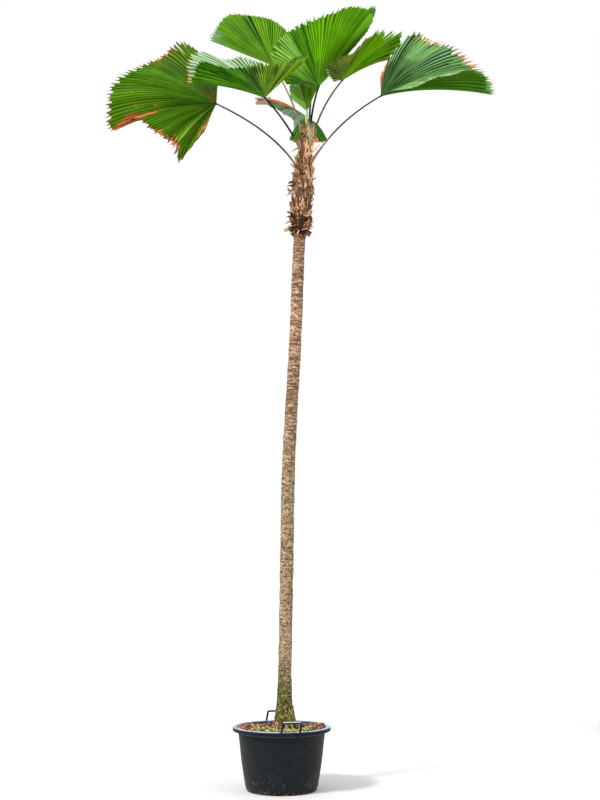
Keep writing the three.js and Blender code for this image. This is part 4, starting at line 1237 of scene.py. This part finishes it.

# What each blade looks like. Screen colours: upper and under, the two faces, in part painted light: the
# bright yellow-green of most under faces stands for light shining through the leaf, and the pale grey-green
# upper face of the right fan for a reflection of the sky; second, another green, which on the back and
# front-right fans is painted shade on a lobe in shadow; the pale colour of sheen and bleach, mostly a
# painted sheen of the sky and in places bleached leaf; dead, withered; spot; tips, of the teeth; and stalk.
# Numbers: tip_length, a tooth's dry tip in millimetres; tips_to, the place round the fan beyond which the
# tips stay green; streaky, how strongly streaks show; spots, lower for more of them; tinted, how much whole
# pleats differ at a place; brown_foot, the share of the stalk that is brown fibre; and light, what the
# brightest tone multiplies the green by. A list that
# ends in _at holds patches: from one place round the fan to another, from one share of the ribs to another,
# and a strength. dead, the pale sheen and bleach, and second lay on that colour; glow is painted light that
# lightens or, below 0, painted shade that darkens; strips paints light on one flank of each pleat and shade
# on the other; and bold paints light on the ridges and shade in the valleys.
LOOKS = {
    "left": {
        "upper": (52, 98, 0), "under": (84, 130, 14), "second": (104, 60, 16), "sheen_and_bleach": (146, 182, 60),
        "dead": (200, 116, 60), "withered": (76, 36, 20), "tips": (150, 62, 46), "stalk": (8, 11, 8),
        "tip_length": 26, "streaky": 1.9, "spots": 0.46,
        "dead_at": [
            (0.603, 0.69, 0.72, 0.83, 1), (0.62, 0.69, 0.83, 0.92, 1), (0.64, 0.69, 0.92, 1, 1),
            (0.621, 0.628, 0.42, 0.75, 1), (0.165, 0.27, 0.955, 1, 1), (0.78, 0.9, 0.93, 1, 1),
            (0.865, 0.925, 0.87, 1, 1), (0.978, 1, 0.5, 0.9, 1), (0.968, 1, 0.62, 0.8, 0.6),
        ],
        "sheen_and_bleach_at": [(0.893, 0.906, 0.08, 0.93, 0.75), (0.935, 0.945, 0.2, 0.95, 0.3)],
        "strips_at": [(0.3, 0.62, 0.5, 1, 0.35), (0.7, 0.95, 0.1, 1, 0.35)],
        "second_at": [(-0.1, 0.3, 0.86, 1, 0.22), (-0.1, 0.24, 0.3, 0.86, 0.06), (-0.1, 0.3, 0, 0.2, 0.5)],
        "glow_at": [
            (0.46, 0.62, 0.55, 1, 0.5), (0.7, 0.95, 0.4, 0.95, 0.35), (0.56, 0.66, 0, 0.5, -0.5),
            (0, 0.12, 0, 1, -0.2), (0, 1, 0, 0.24, -0.7),
        ],
    },
    "front_left": {
        "upper": (58, 106, 20), "under": (66, 130, 0), "second": (96, 136, 16), "sheen_and_bleach": (170, 194, 158),
        "dead": (226, 104, 60), "tips": (214, 92, 60), "stalk": (7, 9, 6),
        "tip_length": 9, "tips_to": 0.16, "streaky": 2.0, "spots": 0.5,
        "tinted": [(0, 0.1), (0.5, 0.14), (0.6, 0.5), (1, 0.5)],
        "dead_at": [(0.2, 0.3, 0.97, 1, 1)],
        "sheen_and_bleach_at": [
            (-0.1, 0.105, 0.5, 1.1, 0.5), (-0.1, 0.105, 0.64, 1.1, 0.4), (0.11, 0.28, 0.5, 1.1, 0.5),
            (0.11, 0.28, 0.64, 1.1, 0.4),
        ],
        "strips_at": [(-0.1, 0.28, 0.4, 1.1, 1.6), (0.5, 1.1, 0.2, 1, 0.25)],
        "bold_at": [(-0.1, 0.28, 0.4, 1.1, 0.7), (0.5, 1.1, 0.2, 1.1, 0.4)],
        "second_at": [(0.54, 1.1, 0.1, 0.95, 0.7)],
        "glow_at": [
            (0.28, 0.31, 0.1, 0.9, -0.3), (0.32, 0.48, 0, 0.9, 0.1), (0.42, 0.5, 0.1, 0.9, 0.5),
            (0.51, 0.54, 0, 0.8, -1.2), (0.54, 0.6, 0.66, 0.9, -1.6), (0.56, 0.6, 0.2, 1, 0.8),
            (0.6, 0.64, 0, 1, -1.0), (0.64, 0.67, 0.6, 0.92, -1.4), (0.66, 0.69, 0, 1, 0.9),
            (0.7, 0.73, 0.1, 1, -1.2), (0.76, 0.8, 0, 0.9, 1.2), (0.84, 0.9, 0, 0.7, 1.0),
            (0.9, 0.93, 0.1, 1, -1.2), (0.5, 1.1, 0.84, 1.1, 0.8),
        ],
    },
    "back_left": {
        "upper": (70, 120, 4), "under": (76, 144, 2), "sheen_and_bleach": (122, 156, 118), "dead": (206, 150, 110),
        "tips": (150, 186, 110), "stalk": (122, 112, 98),
        "tip_length": 5, "spots": 0.7, "tinted": [(0, 0.24), (1, 0.24)],
        "sheen_and_bleach_at": [(0.9, 1.1, 0.84, 1.1, 0.8), (0.97, 1.1, 0.2, 0.84, 0.3)],
        "strips_at": [(0.5, 0.7, 0.4, 1, 0.2)],
        "glow_at": [
            (0.718, 0.73, 0.04, 0.99, -3), (0.738, 0.747, 0.1, 0.99, -3), (0.5, 0.7, 0, 1, 0.2),
            (0.75, 0.9, 0, 0.8, -0.25),
        ],
    },
    "front": {
        "upper": (70, 120, 20), "under": (92, 164, 2), "sheen_and_bleach": (170, 204, 110), "dead": (206, 150, 110),
        "tips": (70, 110, 50), "stalk": (10, 11, 8), "tip_length": 8,
        "sheen_and_bleach_at": [(0.765, 0.83, 0.3, 1.1, 0.35), (0.1, 0.29, 0.55, 0.98, 0.3)],
        "strips_at": [(0.08, 0.3, 0.5, 0.98, -1.5), (0.0, 0.3, 0.15, 0.5, -0.6)],
        "glow_at": [
            (0.1, 0.28, 0.2, 1, 0.6), (0.48, 0.64, 0.3, 0.95, 0.5), (0.3, 0.44, 0.2, 1, -0.35),
            (0.69, 0.755, 0, 1, -0.7), (0.765, 0.83, 0.25, 1, 1.0), (0, 0.06, 0, 1, -0.9),
            (0, 0.3, 0, 0.5, -0.6), (0, 1, 0, 0.26, -0.8),
        ],
    },
    "front_right": {
        "upper": (66, 100, 20), "under": (86, 146, 0), "second": (106, 122, 18), "sheen_and_bleach": (186, 192, 140),
        "dead": (196, 140, 96), "tips": (120, 60, 40), "stalk": (74, 62, 38), "tip_length": 5,
        "dead_at": [(0.995, 1.1, 0.1, 1, 1)],
        "sheen_and_bleach_at": [(-0.1, 0.08, 0.88, 1.1, 0.7), (0.34, 0.42, 0.8, 1.1, 0.4)],
        "strips_at": [(0.02, 0.4, 0.3, 1, 0.2), (0.5, 1, 0.1, 0.8, 0.2)],
        "second_at": [(0.0, 0.46, 0.1, 0.98, 0.75), (0.0, 0.5, 0.9, 1.1, 0.7)],
        "glow_at": [(0.02, 0.46, 0, 1, -0.8), (0.6, 0.8, 0.3, 1, 0.4), (0.86, 1, 0, 1, -0.5)],
    },
    "right": {
        "upper": (106, 154, 86), "under": (52, 104, 2), "second": (56, 112, 0), "sheen_and_bleach": (170, 200, 170),
        "dead": (232, 172, 138), "withered": (190, 112, 78), "tips": (228, 160, 126), "stalk": (8, 10, 9),
        "light": (1.8, 1.5, 1.8), "tip_length": 16, "brown_foot": 0.3,
        "dead_at": [
            (0.695, 0.8, 0.95, 1, 0.8), (0.59, 0.69, 0.92, 1, 0.8), (0.77, 0.87, 0.895, 0.93, 0.75),
            (0.966, 1.1, 0.03, 1.1, 1), (0.44, 0.56, 0.985, 1, 0.8), (0.1, 0.34, 0.98, 1, 0.35),
        ],
        "sheen_and_bleach_at": [
            (0.0, 0.26, 0.93, 1.1, 1.2), (0.26, 0.6, 0.985, 1.1, 0.6), (0.9, 0.95, 0.9, 1.1, 0.9),
        ],
        "strips_at": [(0.72, 0.86, 0.2, 1, -0.4)],
        "bold_at": [
            (0.6, 0.66, 0.3, 1, 1.2), (0.66, 0.73, 0.34, 0.98, 2.6), (0.86, 0.95, 0.4, 0.98, 2.2),
            (0.95, 1, 0.1, 1, 0.6),
        ],
        "second_at": [(0.77, 0.93, 0.93, 1.1, 1), (0.72, 0.77, 0.985, 1.1, 1)],
        "glow_at": [
            (0.66, 0.73, 0.1, 0.95, -0.4), (0.95, 1, 0.3, 0.95, -0.9), (0.86, 0.95, 0.3, 0.9, -0.2),
            (0.72, 0.86, 0, 0.5, -0.3), (0.1, 0.4, 0, 0.3, -0.7), (0, 0.12, 0.4, 1, 0.8),
            (0.905, 0.94, 0.8, 0.93, -3), (0.3, 0.5, 0.55, 1, 0.5), (0.5, 0.64, 0.4, 1, 0.3),
        ],
    },
    "back": {
        "upper": (84, 134, 50), "under": (104, 144, 92), "second": (56, 122, 6), "sheen_and_bleach": (186, 210, 190),
        "dead": (236, 168, 128), "withered": (206, 96, 48), "spot": (226, 92, 24), "tips": (150, 120, 80),
        "stalk": (60, 70, 40), "tip_length": 5, "spots": 0.4,
        "dead_at": [
            (0.93, 1.1, 0.3, 0.88, 0.9), (0.835, 0.92, 0.3, 0.72, 0.9), (0.84, 1.1, 0.95, 1.1, 1),
            (0.13, 0.2, 0.4, 0.8, 0.9), (0.08, 0.17, 0.88, 1, 1),
        ],
        "sheen_and_bleach_at": [
            (0.4, 0.66, 0.2, 1.1, 0.75), (0.66, 0.84, 0.2, 0.7, 0.3), (0.92, 1.1, 0.88, 1.1, 0.8),
        ],
        "strips_at": [(0.4, 0.8, 0.2, 1, 0.2)],
        "bold_at": [(0.04, 0.36, 0.2, 1, 0.9), (0.4, 0.7, 0.4, 1, 0.4)],
        "second_at": [(-0.1, 0.36, 0, 1.1, 1), (0.36, 0.46, 0.6, 1.1, 1)],
        "glow_at": [(0.7, 0.84, 0.4, 1, 0.6), (0, 0.06, 0, 1, -0.6), (0.08, 0.3, 0.3, 1, 0.9)],
    },
    "back_right": {
        "upper": (72, 116, 20), "under": (84, 140, 16), "sheen_and_bleach": (168, 196, 140), "dead": (206, 140, 90),
        "tips": (110, 60, 44), "stalk": (44, 50, 34), "tip_length": 9,
        "dead_at": [(0.3, 0.36, 0.93, 1, 1)],
        "strips_at": [(0, 1, 0.3, 1, 0.15)],
        "glow_at": [(0.4, 0.6, 0.3, 1, 0.3), (0, 1, 0, 0.25, -0.5)],
    },
    "young": {
        "upper": (86, 140, 56), "under": (86, 140, 56), "second": (80, 126, 10), "sheen_and_bleach": (176, 196, 120),
        "dead": (206, 130, 80), "tips": (150, 170, 90), "stalk": (176, 180, 120), "tip_length": 3,
        "dead_at": [(0.14, 0.19, 0.95, 1.1, 0.9)],
        "sheen_and_bleach_at": [(0.2, 0.38, 0.86, 1.1, 0.6), (0.64, 0.67, 0.1, 0.8, 0.5)],
        "strips_at": [(0.5, 1, 0.1, 1, 0.4)],
        "second_at": [(-0.1, 0.56, 0, 1.1, 1)],
        "glow_at": [(0.575, 0.625, 0.42, 1.1, -3), (0.05, 0.2, 0.3, 1, -0.5), (0.64, 1, 0, 1, 1.5)],
    },
}
# What a look has unless its own entry says otherwise.
USUAL_LOOK = {
    "second": (88, 72, 28), "withered": (92, 44, 24), "spot": (190, 84, 40), "light": (2.1, 1.65, 1.5),
    "tips_to": 1, "streaky": 1.2, "spots": 0.54, "tinted": [(0, 0.14), (1, 0.14)], "brown_foot": 0.16,
}
# How far the edge of each kind of patch wanders from rib to rib, and how soft it is round and along the fan.
PATCH_WANDER = {"dead": -1, "sheen_and_bleach": 1.5, "glow": 4, "second": 4, "strips": 4, "bold": 4}
PATCH_SOFT_ROUND = 0.008
PATCH_SOFT_ALONG = 0.04
GREEN_TIP = 200  # millimetres, beyond every dry tip


def along_fan(rows, across):
    """Values at places round the fan, straight between the pairs of place and value."""
    return np.interp(across, *np.array(rows, float).T)


def pleated_fan(frond, habit, seed):
    """Blade surface as a grid: rows run out along the ribs, columns run round the fan.

    A rib at place a has tip T(a), smooth through the listed tips over the angle between them. A point at
    share s of it is hub + s T, raised by arch * 4 (s - s0)(1 - s) * (rib / ARCH_RIB)^2, and moved along the
    surface normal by the pleat, a triangle wave of the given steepness, and by a slow ruffle. Each ridge
    ends in a tooth, each valley in a notch.
    """
    tips = np.array(frond["tips"], float)
    heads = unit(tips)
    turns = np.arccos(np.clip((heads[1:] * heads[:-1]).sum(1), -1, 1))
    places = np.concatenate([[0], np.cumsum(turns)])
    whole = places[-1]
    pleats = frond["pleats"]
    column = np.append((np.arange(pleats)[:, None] + (PHASES + 1) / 2).ravel(), pleats)
    fold = np.append(np.tile(np.abs(PHASES), pleats), 1.0)
    fine = np.linspace(0, 1, 2001)
    counted = np.cumsum(along_fan(habit.get("crowd", EVEN), fine))
    across = np.interp(column / pleats, (counted - counted[0]) / (counted[-1] - counted[0]), fine)
    across[-1] = 1
    at = across * whole
    tip = curve_through(places, tips, at)
    tiny = whole / 500
    ahead = curve_through(places, tips, np.minimum(at + tiny, whole))
    behind = curve_through(places, tips, np.maximum(at - tiny, 0))
    normal = unit(np.cross(tip, ahead - behind))
    length = np.linalg.norm(tip, axis=1)
    teeth = along_fan(habit["teeth"], across)
    depth = teeth * (1 + 0.3 * ripple(seed, 6, column / 2.3))
    jitter = (2 + 0.14 * teeth) * ripple(seed + 1, 6, column / 1.7) * (1 - fold)
    reach = 1 - (depth * np.minimum(1, 1.85 * fold) - np.minimum(jitter, 4)) / length
    start = BLADE_START / length
    out = np.sin(np.linspace(0, 1, BLADE_ROWS) * math.pi / 2)[:, None]
    share = start + (reach - start) * out
    pitch = np.gradient(across)[None, :] / np.gradient(column / pleats)[None, :] * whole / pleats
    steep = PLEAT_SLOPE * along_fan(habit.get("steep", EVEN), across)
    uneven = 1 + 0.3 * ripple(seed + 4, 6, column / pleats * 12)
    pleat = steep * uneven * share * length * pitch / 2 * (0.5 - fold) * np.clip(1.2 - 0.4 * share, 0, 1)
    slow = RUFFLE * share**2 * ripple(seed + 2, 5, column / pleats * 5, share * 0.6)
    points = share[..., None] * tip
    points[..., 2] += frond["arch"] * 4 * (share - start) * (1 - share) * (length / ARCH_RIB) ** 2
    points += (pleat + slow)[..., None] * normal + np.array(frond["hub"], float)
    return points, normal, fold, share, across, length


def patches(rows, share, across):
    """Sum of soft-edged patches, each strong between its two places and its two shares."""
    total = np.zeros(share.shape)
    for low, high, begin, end, strength in rows:
        inside = strength
        for past, soft in (
            (across - low, PATCH_SOFT_ROUND), (high - across, PATCH_SOFT_ROUND),
            (share - begin, PATCH_SOFT_ALONG), (end - share, PATCH_SOFT_ALONG),
        ):
            inside = inside * np.clip(past / soft + 0.5, 0, 1)
        total += inside
    return total


def blade(frond, habit, look, seed):
    """Closed blade with its marks: the fan, less the slits between ribs, thickened like a sheet."""
    points, normal, fold, share, across, length = pleated_fan(frond, habit, seed)
    rows, columns, _ = points.shape
    quads = grid_quads(rows, columns)
    keep = np.ones(len(quads), bool)
    row, left = np.divmod(np.arange(len(quads)), columns - 1)
    valleys = np.flatnonzero(fold == 1)[1:-1]
    for place, deep in habit.get("splits", ()):
        valley = valleys[np.abs(across[valleys] - place).argmin()]
        beyond = share[:, valley] > 1 - deep
        keep &= ~(((left == valley) | (left == valley - 1)) & beyond[row])
        opened = np.clip((share[:, valley] - (1 - deep)) / deep, 0, 1)
        closing = (beyond * (1 - opened) * 0.9)[:, None]
        for side in (valley - 1, valley + 1):
            points[:, side] += closing * (points[:, valley] - points[:, side])
    normals = np.broadcast_to(normal, points.shape).reshape(-1, 3)
    used, quads = np.unique(quads[keep], return_inverse=True)
    points = points.reshape(-1, 3)[used]
    solid, faces, rim = thicken(points, normals[used], quads.reshape(-1, 4), BLADE_THICK)
    number = np.full(rows * columns, -1)
    number[used] = np.arange(len(used))
    down = np.arange(rows - 1)[:, None] * columns + np.flatnonzero((fold == 0) | (fold == 1))
    pairs = number[np.stack([down.ravel(), down.ravel() + columns], axis=1)]
    pairs = pairs[(pairs >= 0).all(1)]
    own = np.random.default_rng(seed).uniform(-1, 1, frond["pleats"] + 1)
    tint = np.repeat(own, len(PHASES))[:columns]
    marks = {
        "fold": fold,
        "flank": np.append(np.tile([0.0, -1.0, -0.7, 0.0, 0.7, 1.0], frond["pleats"]), 0.0),
        "along": share,
        "across": across,
        "tint": tint * along_fan(look["tinted"], across),
        "tip": (share - 1) * length - GREEN_TIP * (across > look["tips_to"]),
    }
    ragged = 0.015 * ripple(seed + 5, 8, across * 90) + 0.015 * ripple(seed + 6, 8, across * 30)
    for kind, wander in PATCH_WANDER.items():
        marks[kind] = patches(look.get(f"{kind}_at", ()), share + ragged * wander, across)
    marks = {key: np.broadcast_to(value, (rows, columns)) for key, value in marks.items()}
    marks = sheet_marks(used, **marks)
    marks["upper"] = np.repeat([1.0, 0.0], len(used))
    return solid, faces, np.concatenate([rim, pairs, pairs + len(used)]), marks


def leaf(name, look, pleats):
    """Pleated leaf: streaks along the ribs, pale ribs, spots, and dead or bleached parts, with painted light
    and shade: dark valleys, lit and shaded flanks, light and dark patches, and a pale sheen of the sky.
    """
    finish = Finish(f"leaf_{name}")
    fold, flank, upper = finish.mark("fold"), finish.mark("flank"), finish.mark("upper")
    along, across = finish.mark("along"), finish.mark("across")
    cloud = finish.noise((1, 1, 1), 6, 3)
    fleck = finish.noise((1, 1, 1), 30, 3, 0.6)
    streak = finish.grain(across * (pleats * 1.1), along * 2.2, 3.0, 0.7)
    vein = finish.grain(across * (pleats * 7), along * 4, 1.0, 0.5)
    strips = flank * finish.mark("strips")
    bold = (0.45 - fold) * finish.mark("bold")

    # living leaf, from a dark to a light tone of its own green, with pale ribs; painted light and shade on
    # the flanks, ridges and patches set the tone, and the dark valleys are painted shade
    green = finish.mix(upper, look["under"], look["upper"])
    green = finish.mix(finish.mark("second").clamp(), green, look["second"])
    deep = finish.tone(green, (0.13, 0.2, 0.1))
    # tint, cloud, streak and vein are the leaf's own tones; flank, strips, glow and bold are painted light
    # and shade
    shade = 0.5 + finish.mark("tint") + (cloud - 0.5) * 0.6 + (streak - 0.5) * look["streaky"]
    shade = shade + (vein - 0.5) * 0.4 + flank * 0.32 + strips * 0.4
    shade = (shade + finish.mark("glow") * 0.35 + bold * 1.3).clamp()
    rib = 1 - step(fold, 0.03, 0.2)
    near_hub = 1 - step(along, 0.05, 0.4)
    colour = finish.coats(
        finish.mix(step(shade, 0.0, 0.5), deep, green),
        (step(shade, 0.5, 1.0), finish.tone(green, look["light"])),
        (rib * (0.16 + near_hub * 0.4) * (1 - upper * 0.6), (176, 192, 120)),
        (step(fold, 0.62, 0.97) * 0.85, deep),
    )

    # pale parts, mostly a painted sheen of the sky and in places bleached leaf, paler on the painted lit
    # flanks and kept out of the valleys, and small spots
    lit = step(flank * 0.15 + (streak - 0.5) * 1.8 + (vein - 0.5) * 0.8, -0.3, 0.4)
    shadowed = linear(look["sheen_and_bleach"], (0.5, 0.6, 0.45))
    sheen_and_bleach = step(finish.mark("sheen_and_bleach") + (streak - 0.5) * 0.8 + strips * 0.8 + bold, 0.2, 0.9)
    spot = step(fleck, 0.66, 0.7) * step(cloud, look["spots"], look["spots"] + 0.05)
    colour = finish.coats(
        colour,
        (sheen_and_bleach * (1 - step(fold, 0.5, 0.95) * 0.9), finish.mix(lit, shadowed, look["sheen_and_bleach"])),
        (spot * 0.8, look["spot"]),
    )

    # dead parts, from withered dark to papery pale, with painted shade in the valleys and a yellowed edge,
    # and the dry tips of the teeth
    sound = step(streak * 0.4 + vein * 0.35 + fleck * 0.25 + flank * 0.14, 0.42, 0.6)
    papery = step(cloud * 0.3 + fleck * 0.4 + streak * 0.3, 0.5, 0.62)
    brown = finish.coats(
        finish.mix(sound, look["withered"], look["dead"]),
        (papery * 0.5, (236, 200, 158)),
        (step(fold, 0.45, 0.95) * 0.7, look["withered"]),
    )
    edge = finish.mark("dead") + (fleck - 0.5) * 0.7
    dead = step(edge, 0.3, 0.5)
    dry = step(finish.mark("tip") + (fleck - 0.5) * 16, -2 - look["tip_length"], 5 - look["tip_length"])
    burnt = linear(look["tips"], (0.5, 0.42, 0.38))
    tip = finish.mix(step(vein * 0.5 + fleck * 0.5, 0.4, 0.54), burnt, look["tips"])
    colour = finish.coats(
        colour,
        (step(edge, 0.1, 0.3) * 0.55, finish.mix(0.5, colour, (146, 96, 20))),
        (dead, brown),
        (dry * (1 - dead * 0.7), tip),
    )
    rough = 0.52 + (1 - upper) * 0.04 + dead * 0.35 + (streak - 0.5) * 0.15
    return finish.end(colour, rough, (0.2, 0.0015, vein + fleck * 0.5 + rib), 0.04)


def stalk(frond, thickness, brown):
    """Stalk: a quadratic curve from foot by bow to hub, thicker where it is brown, and a knob at the hub."""
    foot, bow, hub = (np.array(frond[key], float) for key in ("foot", "bow", "hub"))
    share = np.linspace(0, 1, STALK_ROWS)
    near, far = (1 - share)[:, None], share[:, None]
    path = near**2 * foot + 2 * far * near * bow + far**2 * hub
    thick, thin = thickness
    radii = thick + (thin - thick) * share**0.7 + brown * BROWN_FOOT_SWELL * np.clip(1 - share / brown, 0, 1)
    path = np.concatenate([path, path[-1] + np.outer(KNOB["beyond"], unit(path[-1] - path[-2]))])
    return sweep(path, np.concatenate([radii[:-2], KNOB["radii"]]), STALK_SIDES, 0.8)


def stalk_skin(name, colour, brown):
    """Smooth stalk: its own colour, faint lengthwise mottling, brown and fibrous at the foot."""
    finish = Finish(f"stalk_{name}")
    cloud = finish.noise((1, 1, 1), 22, 4)
    fine = finish.noise((1, 1, 1), 150, 3)
    pale = tuple(min(v * 2.4 + 0.01, 0.8) for v in linear(colour)[:3]) + (1.0,)
    mottled = finish.mix(step(cloud, 0.45, 0.8) * 0.4, linear(colour), pale)
    foot = 1 - step(finish.mark("along") + (cloud - 0.5) * 0.1, brown - 0.08, brown + 0.08)
    bark = finish.mix(step(fine, 0.35, 0.6), (100, 72, 52), (186, 154, 124))
    return finish.end(finish.mix(foot, mottled, bark), 0.5 + foot * 0.35, (0.3, 0.001, fine + cloud), 0.1)


for number, (name, frond) in enumerate(FRONDS.items()):
    look = USUAL_LOOK | LOOKS[name]
    solid, faces, sharp, marks = blade(frond, HABITS[name], look, 200 + 10 * number)
    finish = leaf(name, look, frond["pleats"])
    new_piece(f"fan_{name}", solid, faces, finish, "leaf_blade", [f"blade_{name}"], sharp, **marks)
    brown = look["brown_foot"]
    rings = stalk(frond, YOUNG_STALK_THICK if name == "young" else STALK_THICK, brown)
    along = np.append(np.repeat(np.linspace(0, 1, len(rings)), STALK_SIDES), [0, 1])
    finish = stalk_skin(name, look["stalk"], brown)
    new_piece(f"petiole_{name}", *skin(rings[None]), finish, "leaf_stalk", [f"stalk_{name}"], along=along)


# Torn leaf tips
# Scraps of leaf still joined to the edges of two fans: curled green tips on the front one, and a dead end
# with pale teal strips beside it on the back one. Each is a narrow split leaflet, made as one ribbon.
SCRAPS = {
    "curled_tip": {
        "places": [
            (590, -463, 5176), (603, -445, 5186), (611, -424, 5191), (619, -402, 5196), (622, -384, 5192),
        ],
        "out": (0.3, -0.1, 0.95), "length": 60, "width": 7, "sag": 0.4, "colour": (74, 132, 22), "seed": 91,
    },
    "dead_tip": {
        "places": [(-130, 225, 4812), (-128, 235, 4798)], "seed": 92,
        "out": (-1.0, -0.2, -0.25), "length": 112, "width": 13, "sag": 0.25, "colour": (236, 190, 160),
    },
    "teal_tip": {
        "places": [(-120, 228, 4828), (-110, 234, 4834)], "seed": 93,
        "out": (-1.0, -0.2, 0.0), "length": 104, "width": 7, "sag": 0.1, "colour": (150, 196, 168),
    },
}


def scraps(scrap):
    """Leaflets from the given places, all close to one direction and broadside to the front, as ribbons."""
    dice = np.random.default_rng(scrap["seed"])
    base = np.array(scrap["places"], float)
    out = unit(np.array(scrap["out"], float) + dice.uniform(-0.12, 0.12, base.shape))
    flat = unit(np.cross(out, [0.0, 1.0, 0.2]))
    length = dice.uniform(0.8, 1.1, len(base)) * scrap["length"]
    width, sag, twist, sharpness = (np.full(len(base), v) for v in (scrap["width"], scrap["sag"], 0, 0.4))
    return ribbon(base, out, flat, length, width, sag, twist, sharpness, 1.2)


for name, scrap in SCRAPS.items():
    new_piece(f"{name}s", *skin(scraps(scrap)), crumb(name, scrap["colour"]), "leaf_blade")
